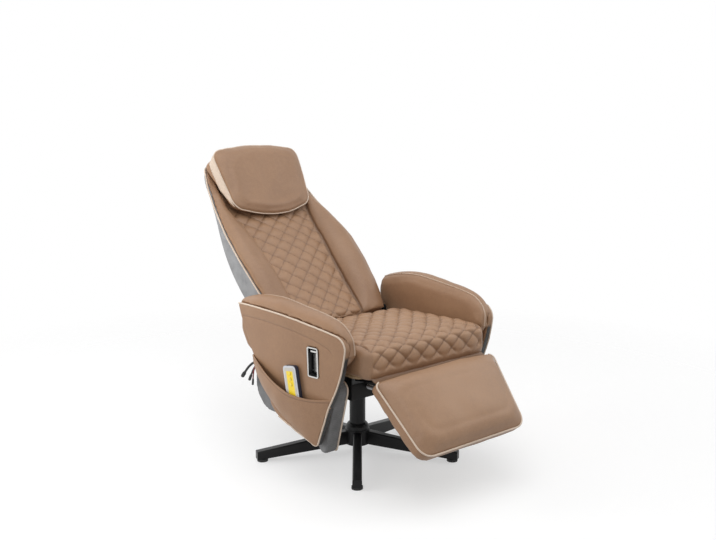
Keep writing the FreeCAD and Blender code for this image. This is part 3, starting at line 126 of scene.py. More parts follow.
# The pocket's upper edge: place along the arm, from the swivel axis, and height
POCKET_EDGE = ([-0.266, -0.226, -0.185, -0.145, -0.105, -0.062, -0.020, 0.038, 0.095],
               [0.310, 0.304, 0.300, 0.300, 0.303, 0.313, 0.330, 0.352, 0.377])
HEM_DROP = 0.010
HEM_WIDTH = 0.0014
HEM_DEPTH = 0.001

# The inner seam of the arm's padded top, from the front's foot to the rear: half width, place from
# the swivel axis, height
ROLL_SEAM = [(0.279, -0.316, 0.446), (0.281, -0.317, 0.470), (0.284, -0.308, 0.497), (0.288, -0.290, 0.516),
             (0.291, -0.255, 0.534), (0.293, -0.149, 0.555), (0.294, 0.000, 0.569), (0.293, 0.110, 0.562),
             (0.289, 0.183, 0.545)]

# Sewn lines between quilted and plain leather
SEAM_WIDTH = 0.0035
SEAM_DEPTH = 0.006

# Seat: how far its seams lie from its sides, how far its front's foot drops, and its deeper quilt
SEAT_SEAM_INSET = 0.030
SEAT_FRONT_DROP = 0.007
SEAT_QUILT_GAIN = 1.3

# Stations of the back: place up it, half width, seam half width and the rim's height out of the hinge plane
BACK_UP = np.array([-0.022, 0.035, 0.130, 0.250, 0.375, 0.510, 0.600, 0.690, 0.706])
BACK_HALF = np.array([0.229, 0.240, 0.251, 0.259, 0.252, 0.227, 0.211, 0.184, 0.172])
BACK_SEAM = np.array([0.126, 0.130, 0.132, 0.138, 0.148, 0.172, 0.169, 0.143, 0.130])
BACK_RIM = np.array([0.042, 0.048, 0.054, 0.055, 0.045, 0.029, 0.029, 0.031, 0.031])

# The pillow's piped edge at its low and high end: half width, place up the back, height out of it
PILLOW_HALF = (0.166, 0.190)
PILLOW_UP = (0.472, 0.707)
PILLOW_OUT = (0.053, 0.1183)
# The cream band beside it: its ends up the back, where it gets its full width, least and full width
BAND_ENDS = (0.486, 0.694)
BAND_FULL_UP = 0.590
BAND_WIDTHS = (0.004, 0.038)
BAND_THICKNESS = 0.0015

# The leg rest's piped edge, at its front and rear: half width, place along it; and its height
REST_HALF = (0.226, 0.254)
REST_ALONG = (-0.269, -0.015)
REST_OUT = 0.0365
# The crown of the leg rest's pad: where the pad starts, its length, the crown's height and its highest place
REST_PAD_START = -0.013
REST_PAD_LENGTH = 0.258
REST_CROWN = 0.030
REST_CROWN_SHARE = 0.34

# Routes of the leads, from the gland outwards
GLAND = Vector((-0.300, AXIS_Y + 0.127, 0.330))
LEAD_REACH = 0.1
LEADS = {
    "power": ("rubber_black", 0.008, [(-0.09, 0, 0.13), (-0.11, 0.21, 0.07), (-0.13, 0.44, -0.07),
                                      (-0.14, 0.64, -0.24), (-0.14, 0.81, -0.43)]),
    "motor": ("rubber_black", 0.006, [(-0.06, 0, 0.04), (-0.07, 0.17, -0.02), (-0.08, 0.32, -0.15),
                                      (-0.08, 0.44, -0.31), (-0.08, 0.53, -0.47)]),
    "red": ("red_rubber", 0.0045, [(-0.14, 0, 0.03), (-0.16, 0.13, -0.04), (-0.17, 0.22, -0.18),
                                   (-0.17, 0.27, -0.35), (-0.17, 0.29, -0.52)]),
}

# A connector's profile: radius as a share of the lead's width, and place as a share of its length
CONNECTOR_LENGTH = 0.022
CONNECTOR_SIDES = 24
CONNECTOR_PROFILE = [(0.62, 0), (0.7, 0.05), (0.72, 0.2), (0.8, 0.24), (0.8, 0.3), (0.74, 0.33),
                     (0.74, 0.38), (0.8, 0.41), (0.8, 0.47), (0.74, 0.5), (0.74, 0.55), (0.8, 0.58),
                     (0.8, 0.9), (0.74, 0.98), (0.5, 1.0), (0.48, 0.8)]

# The paler frame of the handset's panel, across and along it
LABEL_MARGINS = (0.006, 0.009)

# How far the edges of CAD nodes are broken, by material slot
EDGE_WIDTHS = {"metal_black": 0.0012, "plywood": 0.001, "plastic_black": 0.0008, "chrome": 0.0012,
               "handset_dark": 0.0015, "handset_white": 0.0012, "handset_yellow": 0.0004, "key_grey": 0.0005,
               "rubber_black": 0.0012}

# Cushions: pressure that fills them, its frames and quality, the least share of their form that they
# regain, and rounds of smoothing after it
FILL_PRESSURE = 6.0
FILL_FRAMES = 13
FILL_QUALITY = 3
FILL_LEAST = 0.75
FILL_SMOOTH = 5

# Thickness of the slack leather at the hinges
FLAP_THICKNESS = 0.002

# Steps along piping, and points to each rounded corner
PIPING_STEP = 0.012
ARM_PIPING_STEP = 0.011
CORNER_STEPS = 9


# Settings

class ReclinerColours(bpy.types.PropertyGroup):
    """Colours of the recliner's finishes"""

    leather_dark: bpy.props.FloatVectorProperty(
        name="Leather, dark", description="Leather in its pores and folds",
        subtype="COLOR", default=(0.198, 0.104, 0.055))
    leather_light: bpy.props.FloatVectorProperty(
        name="Leather, light", description="Leather on its crowns",
        subtype="COLOR", default=(0.384, 0.225, 0.129))
    piping: bpy.props.FloatVectorProperty(
        name="Piping", description="Cream leather of the piping",
        subtype="COLOR", default=(0.74, 0.60, 0.48))
    fabric: bpy.props.FloatVectorProperty(
        name="Grey cloth", description="Cloth of the back shell and side boards",
        subtype="COLOR", default=(0.30, 0.30, 0.305))
    metal: bpy.props.FloatVectorProperty(
        name="Black paint", description="Paint of the base and the mechanism",
        subtype="COLOR", default=(0.007, 0.007, 0.0075))


class ReclinerSizes(bpy.types.PropertyGroup):
    """Sizes of the upholstery's details"""

    quilt_across: bpy.props.FloatProperty(
        name="Diamond width", description="Quilt pitch across the chair", unit="LENGTH", default=0.066)
    quilt_along: bpy.props.FloatProperty(
        name="Diamond length", description="Quilt pitch along seat and back", unit="LENGTH", default=0.062)
    quilt_depth: bpy.props.FloatProperty(
        name="Quilt depth", description="How deep the sewn lines draw in", unit="LENGTH", default=0.0075)
    piping_radius: bpy.props.FloatProperty(
        name="Piping radius", description="Half the piping's thickness", unit="LENGTH", default=0.0027)
    voxel: bpy.props.FloatProperty(
        name="Foam voxel", description="Mesh size of the large cushions", unit="LENGTH", default=0.006)


# Shader maths

class Signal:
    """A node's output that can be added, subtracted and multiplied."""

    def __init__(self, nodes, socket):
        self.nodes = nodes
        self.socket = socket

    def maths(self, operation, first, second):
        return self.nodes.node("ShaderNodeMath", {"operation": operation}, {0: first, 1: second})

    def __add__(self, other):
        return self.maths("ADD", self, other)

    def __radd__(self, other):
        return self.maths("ADD", other, self)

    def __sub__(self, other):
        return self.maths("SUBTRACT", self, other)

    def __rsub__(self, other):
        return self.maths("SUBTRACT", other, self)

    def __mul__(self, other):
        return self.maths("MULTIPLY", self, other)

    def __rmul__(self, other):
        return self.maths("MULTIPLY", other, self)


class Nodes:
    """A node tree whose nodes come from one method."""

    def __init__(self, tree):
        self.tree = tree

    def node(self, kind, settings=None, sockets=None, out=0):
        """Add a node with its settings, then the values or links of its sockets, and return an output."""
        made = self.tree.nodes.new(kind)
        for key, value in (settings or {}).items():
            setattr(made, key, value)
        for key, value in (sockets or {}).items():
            self.feed(made.inputs[key], value)
        return Signal(self, made.outputs[out])

    def feed(self, socket, value):
        """Set a socket to a value, or link it."""
        if isinstance(value, Signal):
            self.tree.links.new(value.socket, socket)
        elif hasattr(value, "__len__") and len(value) == 3 and len(socket.default_value) == 4:
            socket.default_value = (*value, 1)
        else:
            socket.default_value = value

    def seen(self):
        """1 for rays from the camera, and from gloss and glass, which show the white surround."""
        kinds = ("Camera", "Glossy", "Transmission")
        return sum((self.node("ShaderNodeLightPath", out="Is %s Ray" % kind) for kind in kinds), 0)


class Finish(Nodes):
    """A material made of procedural nodes around one Principled shader."""

    def __init__(self, name):
        self.material = bpy.data.materials.new(name)
        self.material.use_nodes = True
        super().__init__(self.material.node_tree)
        self.shader = self.tree.nodes["Principled BSDF"]

    def shade(self, **sockets):
        """Set or link the shader's sockets, named with _ for a space."""
        for key, value in sockets.items():
            self.feed(self.shader.inputs[key.replace("_", " ")], value)

    def place(self):
        return self.node("ShaderNodeTexCoord", out="Object")

    def noise(self, where, scale, detail, rough):
        return self.node("ShaderNodeTexNoise", None,
                         {"Vector": where, "Scale": scale, "Detail": detail, "Roughness": rough})

    def cells(self, where, scale):
        return self.node("ShaderNodeTexVoronoi", {"feature": "F1"}, {"Vector": where, "Scale": scale})

    def wave(self, where, way, scale, distortion, detail=2.0):
        return self.node("ShaderNodeTexWave", {"bands_direction": way},
                         {"Vector": where, "Scale": scale, "Distortion": distortion, "Detail": detail})

    def along(self, where, way):
        """How far places lie along a direction."""
        return self.node("ShaderNodeVectorMath", {"operation": "DOT_PRODUCT"}, {0: where, 1: way},
                         out="Value")

    def attribute(self, name):
        return self.node("ShaderNodeAttribute", {"attribute_name": name}, out="Fac")

    def mix(self, factor, low, high):
        return self.node("ShaderNodeMix", {"data_type": "RGBA"}, {"Factor": factor, 6: low, 7: high}, out=2)

    def bump(self, height, strength, distance):
        return self.node("ShaderNodeBump", None,
                         {"Height": height, "Strength": strength, "Distance": distance})

    def clamp(self, signal, low, high):
        """From 0 at the low value to 1 at the high one."""
        return self.node("ShaderNodeMapRange", None, {"Value": signal, "From Min": low, "From Max": high})


def scaled(colour, factor):
    return tuple(channel * factor for channel in colour)


def leather(name, dark, light, roughness):
    """Grained leather: pores, soft creases and cloudy colour, with sewn lines darkened partly as their own thread
    and partly as painted shade, painted light on crowns, and painted shade on shaded edges and slack flaps.
    """
    finish = Finish(name)
    where = finish.place()
    pores = finish.clamp(finish.cells(where, scale=520), 0.05, 0.75)
    creases = finish.noise(where, scale=70, detail=4, rough=0.62)
    clouds = finish.noise(where, scale=7, detail=3, rough=0.55)
    tone = finish.clamp(clouds * 0.6 + creases * 0.4, 0.1, 0.8)
    # Painted light: the crown value makes quilt puffs and the leg rest's crown paler, so their edges and rolls
    # read darker.
    colour = finish.mix(tone * 0.7 + pores * 0.3 + finish.attribute("crown") * 0.4, dark, light)
    # Painted shade: the seam value darkens sewn lines, partly as their own thread and partly as shade in their
    # hollows, and darkens the slack flaps all over.
    colour = finish.mix(finish.attribute("seam") * 0.52, colour, scaled(dark, 0.42))
    # Painted shade: the arm panel's front edge below the roll turns near black, where it lies in shadow beside the
    # seat.
    colour = finish.mix(finish.attribute("edge_shade"), colour, (0.012, 0.011, 0.010))
    finish.shade(Base_Color=colour, Specular_IOR_Level=0.55,
                 Roughness=finish.clamp(creases, 0.2, 0.9) * 0.14 + (roughness - 0.05),
                 Normal=finish.bump(pores * 0.5 + creases * 0.8, strength=0.2, distance=0.0012))
    return finish.material


def woven(name, colour):
    """Grey cloth with a fine weave and faint slubs."""
    finish = Finish(name)
    where = finish.place()
    warp = finish.wave(where, "Z", scale=190, distortion=0.6)
    weft = finish.wave(where, "Y", scale=190, distortion=0.6)
    slubs = finish.noise(where, scale=24, detail=4, rough=0.6)
    thread = warp * weft
    tone = finish.clamp(slubs, 0.3, 0.7) * 0.6 + thread * 0.4
    finish.shade(Base_Color=finish.mix(tone, scaled(colour, 0.72), scaled(colour, 1.3)), Roughness=0.82,
                 Normal=finish.bump(thread + slubs * 0.5, strength=0.3, distance=0.0006), Sheen_Weight=0.15)
    return finish.material


def handled(finish, where, roughness):
    """Give paint or plastic handling marks and a faint orange peel, and return the marks."""
    marks = finish.noise(where, scale=18, detail=5, rough=0.65)
    peel = finish.noise(where, scale=900, detail=2, rough=0.5)
    finish.shade(Roughness=finish.clamp(marks, 0.3, 0.75) * 0.16 + (roughness - 0.06),
                 Normal=finish.bump(peel, strength=0.08, distance=0.0004))
    return marks


def painted(name, colour, roughness, gloss=0.5):
    """Smooth paint, plastic or rubber."""
    finish = Finish(name)
    marks = handled(finish, finish.place(), roughness)
    lift = tuple(min(1, channel * 1.5 + 0.004) for channel in colour)
    finish.shade(Base_Color=finish.mix(finish.clamp(marks, 0.45, 0.8), colour, lift),
                 Specular_IOR_Level=gloss)
    return finish.material


def two_tone(name, side, face, way, start):
    """Plastic whose face, past a distance along a direction, is paler than its sides."""
    finish = Finish(name)
    where = finish.place()
    handled(finish, where, roughness=0.36)
    pale = finish.clamp(finish.along(where, way), start - 0.0004, start + 0.0002)
    finish.shade(Base_Color=finish.mix(pale, side, face))
    return finish.material


def handset_face():
    """The way that the handset faces, and how far along it its front shell's face starts."""
    keys = points_of(NODES["handset_key_1"].data)
    rear = points_of(NODES["handset_rear"].data)
    front = points_of(NODES["handset_front"].data)
    way = max(NODES["handset_panel"].data.polygons, key=lambda face: face.area).normal
    if Vector(keys.mean(axis=0) - rear.mean(axis=0)).dot(way) < 0:
        way = -way
    return tuple(way), float((front @ np.array(way)).max()) - 0.001


def label(name, colour, frame_colour):
    """The handset's panel, printed in a colour inside a paler frame."""
    points = points_of(NODES["handset_panel"].data)
    centre = (points.min(axis=0) + points.max(axis=0)) / 2
    ways = np.linalg.eigh(np.cov((points - centre).T))[1].T
    finish = Finish(name)
    where = finish.place()
    edge = 0
    for way, margin in zip(ways[1:], LABEL_MARGINS):
        offset = finish.along(where, tuple(way)) - float(centre @ way)
        from_middle = finish.node("ShaderNodeMath", {"operation": "ABSOLUTE"}, {0: offset})
        inside = np.abs((points - centre) @ way).max() - margin
        edge = edge + finish.clamp(from_middle, inside - 0.003, inside)
    handled(finish, where, roughness=0.32)
    finish.shade(Base_Color=finish.mix(finish.clamp(edge, 0, 1), colour, frame_colour))
    return finish.material


def metal(name, colour, roughness):
    """Bare metal with fine scratches."""
    finish = Finish(name)
    scratches = finish.clamp(finish.noise(finish.place(), scale=260, detail=3, rough=0.7), 0.3, 0.7)
    finish.shade(Base_Color=finish.mix(scratches, scaled(colour, 0.85), colour), Metallic=1.0,
                 Roughness=scratches * 0.08 + roughness)
    return finish.material


def timber(name):
    """Raw plywood with grain."""
    finish = Finish(name)
    rings = finish.wave(finish.place(), "Z", scale=30, distortion=5, detail=3)
    finish.shade(Base_Color=finish.mix(rings, (0.36, 0.23, 0.12), (0.55, 0.40, 0.24)), Roughness=0.72,
                 Normal=finish.bump(rings, strength=0.12, distance=0.0005))
    return finish.material


FINISHES = {}


def make_finishes(colours):
    """Make each finish once."""
    dark = tuple(colours.leather_dark)
    light = tuple(colours.leather_light)
    cream = tuple(colours.piping)
    grey = tuple(colours.fabric)
    navy = (0.022, 0.027, 0.048)
    FINISHES.update({
        "leather_brown": leather("brown_leather", dark, light, 0.47),
        "piping": leather("cream_leather", scaled(cream, 0.75), cream, 0.45),
        # Its pale tan is partly the seam's own colour and partly a painted highlight along the pad's inner edge.
        "roll_seam_highlight": leather("tan_leather_highlight", light, scaled(cream, 0.85), 0.45),
        "fabric_grey": woven("grey_cloth", grey),
        # Painted shade: the side boards get a darker copy of the shell's grey cloth, for the shade they stand in
        # under the arms.
        "shaded_board_grey": woven("shaded_grey_cloth", scaled(grey, 0.62)),
        "metal_black": painted("black_paint", tuple(colours.metal), 0.36, gloss=0.25),
        "plastic_black": painted("black_plastic", (0.014, 0.014, 0.015), 0.45),
        "rubber_black": painted("black_rubber", (0.013, 0.013, 0.013), 0.55),
        "red_rubber": painted("dark_red_rubber", (0.17, 0.018, 0.022), 0.5),
        "handset_dark": painted("navy_plastic", navy, 0.42),
        "handset_white": two_tone("pale_plastic", navy, (0.62, 0.64, 0.68), *handset_face()),
        "handset_yellow": label("yellow_panel", (0.93, 0.68, 0.035), (0.58, 0.55, 0.50)),
        "key_grey": painted("soft_keys", (0.90, 0.70, 0.12), 0.4),
        "steel": metal("zinc_steel", (0.55, 0.55, 0.56), 0.3),
        "brass_washer": metal("brass", (0.68, 0.5, 0.22), 0.25),
        "chrome": metal("chrome", (0.66, 0.65, 0.63), 0.2),
        "plywood": timber("plywood"),
    })


# Mesh helpers

def put(name, data):
    """Add an object with its data to the scene."""
    holder = bpy.data.objects.new(name, data)
    bpy.context.scene.collection.objects.link(holder)
    return holder


def keep(name, mesh, body, slot, finish=None):
    """Add a mesh as a piece that rides on a body, or on none."""
    piece = put(name, mesh)
    mesh.materials.clear()
    mesh.materials.append(FINISHES[finish or slot])
    mesh.shade_smooth()
    if body:
        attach(piece, body)
    return piece


def upholster(name, mesh, body, node):
    """Add a leather mesh as the padded piece that stands for a node."""
    piece = keep(name, mesh, body, "leather_brown")
    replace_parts(piece, node)


def points_of(mesh):
    co = np.empty(len(mesh.vertices) * 3)
    mesh.vertices.foreach_get("co", co)
    return co.reshape(-1, 3)


def normals_of(mesh):
    no = np.empty(len(mesh.vertices) * 3)
    mesh.vertex_normals.foreach_get("vector", no)
    return no.reshape(-1, 3)


def put_points(mesh, co):
    mesh.vertices.foreach_set("co", np.ascontiguousarray(co, dtype=np.float64).ravel())
    mesh.update()


def put_values(mesh, name, values):
    """Store how much each point gets of the leather's painted shade and light: in a sewn line, on a crown or on
    the panel's shaded front edge.
    """
    attribute = mesh.attributes.new(name, "FLOAT", "POINT")
    attribute.data.foreach_set("value", np.clip(values, 0, 1).astype(np.float32))


def evaluated(holder):
    """An object's mesh after its modifiers, or a curve's mesh."""
    depsgraph = bpy.context.evaluated_depsgraph_get()
    return bpy.data.meshes.new_from_object(holder.evaluated_get(depsgraph))


def mesh_of(data, *modifiers):
    """The mesh of a curve, or of a mesh after modifiers given as (type, settings)."""
    holder = put("holder", data)
    for kind, settings in modifiers:
        modifier = holder.modifiers.new(kind, kind)
        for key, value in settings.items():
            setattr(modifier, key, value)
    made = evaluated(holder)
    bpy.data.objects.remove(holder)
    return made


def welded(node):
    """A copy of a node's mesh with its split corners joined."""
    mesh = NODES[node].data.copy()
    work = bmesh.new()
    work.from_mesh(mesh)
    bmesh.ops.remove_doubles(work, verts=work.verts, dist=1e-5)
    work.to_mesh(mesh)
    work.free()
    return mesh


def foam(node, voxel, smooth):
    """A node's form as an even mesh, ready to be filled."""
    return mesh_of(welded(node), ("REMESH", {"mode": "VOXEL", "voxel_size": voxel}),
                   ("SMOOTH", {"factor": 0.5, "iterations": smooth}))


def filled(mesh, shrink, cap):
    """Draw a mesh in a little and let a cloth simulation fill it again, up to a cap."""
    out = normals_of(mesh)
    co = points_of(mesh) - out * shrink
    put_points(mesh, co)
    holder = put("filling", mesh)
    cloth = holder.modifiers.new("fill", "CLOTH")
    cloth.settings.quality = FILL_QUALITY
    cloth.settings.use_pressure = True
    cloth.settings.uniform_pressure_force = FILL_PRESSURE
    cloth.settings.effector_weights.gravity = 0
    scene = bpy.context.scene
    for step in range(FILL_FRAMES):
        scene.frame_set(step + 1)
    swollen = evaluated(holder)
    swell = np.einsum("ij,ij->i", points_of(swollen) - co, out)
    put_points(mesh, co + out * np.clip(swell, FILL_LEAST * shrink, cap)[:, None])
    bpy.data.objects.remove(holder)
    bpy.data.meshes.remove(swollen)
    scene.frame_set(1)
    return mesh_of(mesh, ("SMOOTH", {"factor": 0.5, "iterations": FILL_SMOOTH}))


def finer(mesh):
    """One subdivision."""
    return mesh_of(mesh, ("SUBSURF", {"levels": 1, "render_levels": 1}))


def rumple(mesh, size, depth, mask=1.0):
    """Soft uneven dents, as in leather over foam."""
    co = points_of(mesh)
    lumps = np.array([noise.noise(Vector(point) / size) for point in co])
    put_points(mesh, co + normals_of(mesh) * (lumps * depth * mask)[:, None])


def surface_of(mesh):
    """A mesh's surface, for finding its nearest point."""
    work = bmesh.new()
    work.from_mesh(mesh)
    tree = BVHTree.FromBMesh(work)
    work.free()
    return tree


def on_surface(surface, spots, lift):
    """The points of a surface nearest to some spots, lifted off it."""
    nearest = [surface.find_nearest(Vector(spot)) for spot in spots]
    return [found[0] + found[1] * lift for found in nearest]


def sheet(rows):
    """A mesh through rows of points."""
    width = len(rows[0])
    corners = [row * width + col for row in range(len(rows) - 1) for col in range(width - 1)]
    faces = [(corner, corner + 1, corner + width + 1, corner + width) for corner in corners]
    mesh = bpy.data.meshes.new("sheet")
    mesh.from_pydata([tuple(spot) for row in rows for spot in row], [], faces)
    return mesh


def smooth_step(values, low, high):
    """From 0 below the low value to 1 above the high one, with soft ends."""
    share = np.clip((values - low) / (high - low), 0, 1)
    return share * share * (3 - 2 * share)


def sewn_line(distance, width):
    """How far leather is drawn in beside a sewn line, from 1 on it to 0 away from it."""
    return np.exp(-(distance / width) ** 2)


def diamond(across, along, sizes):
    """How far a diamond quilt is drawn in, from 1 on a sewn line to 0 on a crown."""
    first = along / sizes.quilt_along - across / sizes.quilt_across
    second = along / sizes.quilt_along + across / sizes.quilt_across
    crown = np.abs(np.sin(np.pi * first)) * np.abs(np.sin(np.pi * second))
    return 1 - np.minimum(1, crown) ** 0.38


def into(matrix, co):
    """Points in a local frame."""
    turn = np.array(matrix.inverted())
    return co @ turn[:3, :3].T + turn[:3, 3]


def out_of(matrix, points):
    """Local points as vectors in the shared frame."""
    return [matrix @ Vector(point) for point in points]


def strand(name, points, radius, rounding, steps, closed=False):
    """A round curve along a smooth line that has the points as its control points."""
    curve = bpy.data.curves.new(name, "CURVE")
    curve.dimensions = "3D"
    curve.bevel_depth = radius
    curve.bevel_resolution = rounding
    curve.resolution_u = steps
    curve.use_fill_caps = not closed
    spline = curve.splines.new("NURBS")
    spline.points.add(len(points) - 1)
    for point, place in zip(spline.points, points):
        point.co = (*place, 1)
    spline.use_cyclic_u = closed
    spline.order_u = 3
    spline.use_endpoint_u = not closed
    return curve


def piping(name, points, radius, body, finish="piping", closed=False):
    """A round strip of leather along points."""
    mesh = mesh_of(strand(name, points, radius, rounding=3, steps=3, closed=closed))
    keep(name, mesh, body, "leather_brown", finish)


def resampled(points, step, closed=False):
    """Points at an even step along a run."""
    run = [Vector(point) for point in points]
    if closed:
        run.append(run[0])
    lengths = np.cumsum([0] + [(after - before).length for before, after in zip(run, run[1:])])
    count = max(4, int(lengths[-1] / step))
    spots = np.linspace(0, lengths[-1], count + 1)[: count if closed else count + 1]
    table = np.array(run)
    return [Vector([np.interp(spot, lengths, table[:, axis]) for axis in range(3)]) for spot in spots]


def sharp_run(node, chosen, angle=math.radians(50)):
    """The longest run of a node's sharp edges between chosen points."""
    work = bmesh.new()
    work.from_mesh(welded(node))
    left = {edge for edge in work.edges if len(edge.link_faces) == 2 and edge.calc_face_angle() > angle
            and all(chosen(vert.co) for vert in edge.verts)}
    loops = []
    while left:
        edge = min(left, key=lambda item: item.index)
        left.discard(edge)
        run = [edge.verts[0], edge.verts[1]]
        while True:
            ahead = [item for item in run[-1].link_edges if item in left]
            if not ahead:
                break
            edge = ahead[0]
            left.discard(edge)
            run.append(edge.other_vert(run[-1]))
        loops.append([vert.co.copy() for vert in run])
    work.free()
    return max(loops, key=run_length)


def run_length(points):
    return sum((after - before).length for before, after in zip(points, points[1:]))


def rounded_run(halves, ends, outs, radii, bows=(0, 0), closed=True):
    """A rounded outline with bowed ends, each size given for its low and its high end."""
    corners = [(-1, 1), (-1, -1), (1, -1), (1, 1)]
    flat = []
    for index, (sign_x, sign_y) in enumerate(corners):
        end = 1 if sign_y > 0 else 0
        radius = radii[end]
        reach = sign_x * (halves[end] - radius)
        middle = ends[end] - sign_y * radius
        for step in range(CORNER_STEPS + 1):
            angle = math.pi / 2 * (index + 1 + step / CORNER_STEPS)
            flat.append((reach + radius * math.cos(angle), middle + radius * math.sin(angle)))
        if index == 1 or (index == 3 and closed):
            for share in np.linspace(0.9, -0.9, 19):
                flat.append((reach * share, ends[end] + bows[end] * sign_y * (1 - share ** 2)))
    rise = (outs[1] - outs[0]) / (ends[1] - ends[0])
    return [(x, y, outs[0] + rise * (y - ends[0])) for x, y in flat]


def arm_face(y, z):
    """Half width of the arm's outer face."""
    bow = BOW_CENTRE[0] + math.sqrt(BOW_RADIUS ** 2 - (y - BOW_CENTRE[1]) ** 2)
    return bow - (ARM_LEAN_TOP - z) * ARM_LEAN


def dress(name, slot, bevel):
    """Give a CAD node a finish, and softly broken edges where it has a bevel."""
    node = NODES[name]
    node.data.materials.clear()
    node.data.materials.append(FINISHES[slot])
    if bevel:
        weld = node.modifiers.new("weld", "WELD")
        weld.merge_threshold = 1e-5
        edge = node.modifiers.new("edge", "BEVEL")
        edge.width = bevel
        edge.segments = 2
        edge.limit_method = "ANGLE"
        edge.angle_limit = math.radians(40)
        edge.harden_normals = False
        soft = node.modifiers.new("soft", "WEIGHTED_NORMAL")
        soft.keep_sharp = True


def flap(name, start, end, half, dip):
    """Slack leather from the seat's edge to a body that is hinged on the seat."""
    rows = []
    for share in np.linspace(0, 1, 9):
        middle = start.lerp(end, share) - Vector((0, 0, dip * (1 - (2 * share - 1) ** 2)))
        rows.append([middle + Vector((x, 0, 0)) for x in np.linspace(-half, half, 30)])
    mesh = mesh_of(sheet(rows), ("SOLIDIFY", {"thickness": FLAP_THICKNESS, "offset": 0.0}))
    # Painted shade: the whole flap is darkened, for the shadowed fold between the seat and the hinged body.
    put_values(mesh, "seam", np.ones(len(mesh.vertices)))
    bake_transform(keep(name, mesh, None, "leather_brown"))


# Operators

class RECLINER_OT_stage(bpy.types.Operator):
    """Pale floor, soft studio light and the camera"""

    bl_idname = "recliner.stage"
    bl_label = "Stage and camera"

    def execute(self, context):
        scene = context.scene
        scene.view_settings.view_transform = "Standard"
        make_finishes(scene.recliner_colours)
        self.floor()
        scene.world = self.surround()
        self.lamps()
        scene.camera = self.camera()
        return {"FINISHED"}

    def floor(self):
        """A wide floor that keeps the object's shadow and fades into the white surround."""
        mesh = bpy.data.meshes.new("floor")
        corners = [(-1, -1), (1, -1), (1, 1), (-1, 1)]
        mesh.from_pydata([(x * FLOOR_REACH, y * FLOOR_REACH, 0) for x, y in corners], [], [(0, 1, 2, 3)])
        pale = Finish("pale_floor")
        distance = pale.node("ShaderNodeVectorMath", {"operation": "LENGTH"}, {0: pale.place()}, out="Value")
        pale.shade(Base_Color=FLOOR_TONE, Roughness=0.9, Alpha=1 - pale.clamp(distance, *FLOOR_FADE),
                   Emission_Color=pale.mix(pale.seen(), (0, 0, 0), FLOOR_GLOW), Emission_Strength=1.0)
        mesh.materials.append(pale.material)
        put("floor", mesh)

    def surround(self):
        """A world that is seen as white and lights the object less."""
        world = bpy.data.worlds.new("studio")
        world.use_nodes = True
        world.node_tree.nodes.clear()
        output = world.node_tree.nodes.new("ShaderNodeOutputWorld")
        studio = Nodes(world.node_tree)
        light = studio.node("ShaderNodeBackground", None, {"Color": (1, 1, 1), "Strength": SURROUND_LIGHT})
        white = studio.node("ShaderNodeBackground", None, {"Color": (1, 1, 1), "Strength": 1.0})
        surface = studio.node("ShaderNodeMixShader", None, {0: studio.seen(), 1: light, 2: white})
        studio.feed(output.inputs["Surface"], surface)
        return world

    def lamps(self):
        """Large soft lamps that face the object."""
        for name, (place, width, power) in LAMPS.items():
            lamp = bpy.data.lights.new(name, "AREA")
            lamp.size = width
            lamp.energy = power
            holder = put(name, lamp)
            holder.location = place
            holder.rotation_euler = (LAMP_AIM - Vector(place)).to_track_quat("-Z", "Y").to_euler()
            holder.visible_glossy = name != MATT_LAMP

    def camera(self):
        """The camera at the photograph's viewing angle."""
        camera = bpy.data.cameras.new("camera")
        camera.lens = CAMERA_LENS
        camera.sensor_width = CAMERA_SENSOR
        holder = put("camera", camera)
        level = math.cos(CAMERA_ELEVATION)
        back = Vector((math.sin(CAMERA_AZIMUTH) * level, -math.cos(CAMERA_AZIMUTH) * level,
                       math.sin(CAMERA_ELEVATION)))
        holder.location = CAMERA_PLACE
        holder.rotation_euler = (-back).to_track_quat("-Z", "Y").to_euler()
        return holder


class RECLINER_OT_leads(bpy.types.Operator):
    """Three short leads with their connectors"""

    bl_idname = "recliner.leads"
    bl_label = "Leads"

    def execute(self, context):
        for name, (slot, width, shares) in LEADS.items():
            route = [GLAND + Vector(share) * LEAD_REACH for share in shares]
            curve = strand("lead_" + name, route, width / 2, rounding=4, steps=12)
            curve.materials.append(FINISHES[slot])
            lead = put(name + "_lead", curve)
            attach(lead, "seat")
            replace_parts(lead, "lead_" + name)
            tip = self.connector(name, route, width)
            self.length(curve)
        dress("lead_gland", "rubber_black", bevel=0.001)
        return {"FINISHED"}

    def length(self, curve):
        """The length of a lead's own line, without its thickness."""
        thin = curve.copy()
        thin.bevel_depth = 0
        thin.use_fill_caps = False
        return run_length([vert.co for vert in mesh_of(thin).vertices])

    def connector(self, name, route, width):
        """A moulded connector: sleeve, shoulder, ribbed grip and a hollow mouth."""
        turn = (route[-1] - route[-2]).to_track_quat("Z", "Y").to_matrix()
        sides = CONNECTOR_SIDES
        verts = []
        for radius, along in CONNECTOR_PROFILE:
            for angle in np.linspace(0, 2 * math.pi, sides, endpoint=False):
                spoke = Vector((math.cos(angle), math.sin(angle), 0)) * radius * width
                verts.append(route[-1] + turn @ (spoke + Vector((0, 0, along * CONNECTOR_LENGTH))))
        last = (len(CONNECTOR_PROFILE) - 1) * sides
        faces = []
        for ring in range(0, last, sides):
            for side in range(sides):
                after = (side + 1) % sides
                faces.append((ring + side, ring + after, ring + sides + after, ring + sides + side))
        faces.append(tuple(reversed(range(sides))))
        faces.append(tuple(range(last, last + sides)))
        mesh = bpy.data.meshes.new(name + "_connector")
        mesh.from_pydata(verts, [], faces)
        tip = keep(name + "_connector", mesh, "seat", "plastic_black")
        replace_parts(tip, "lead_connectors")
        return tip


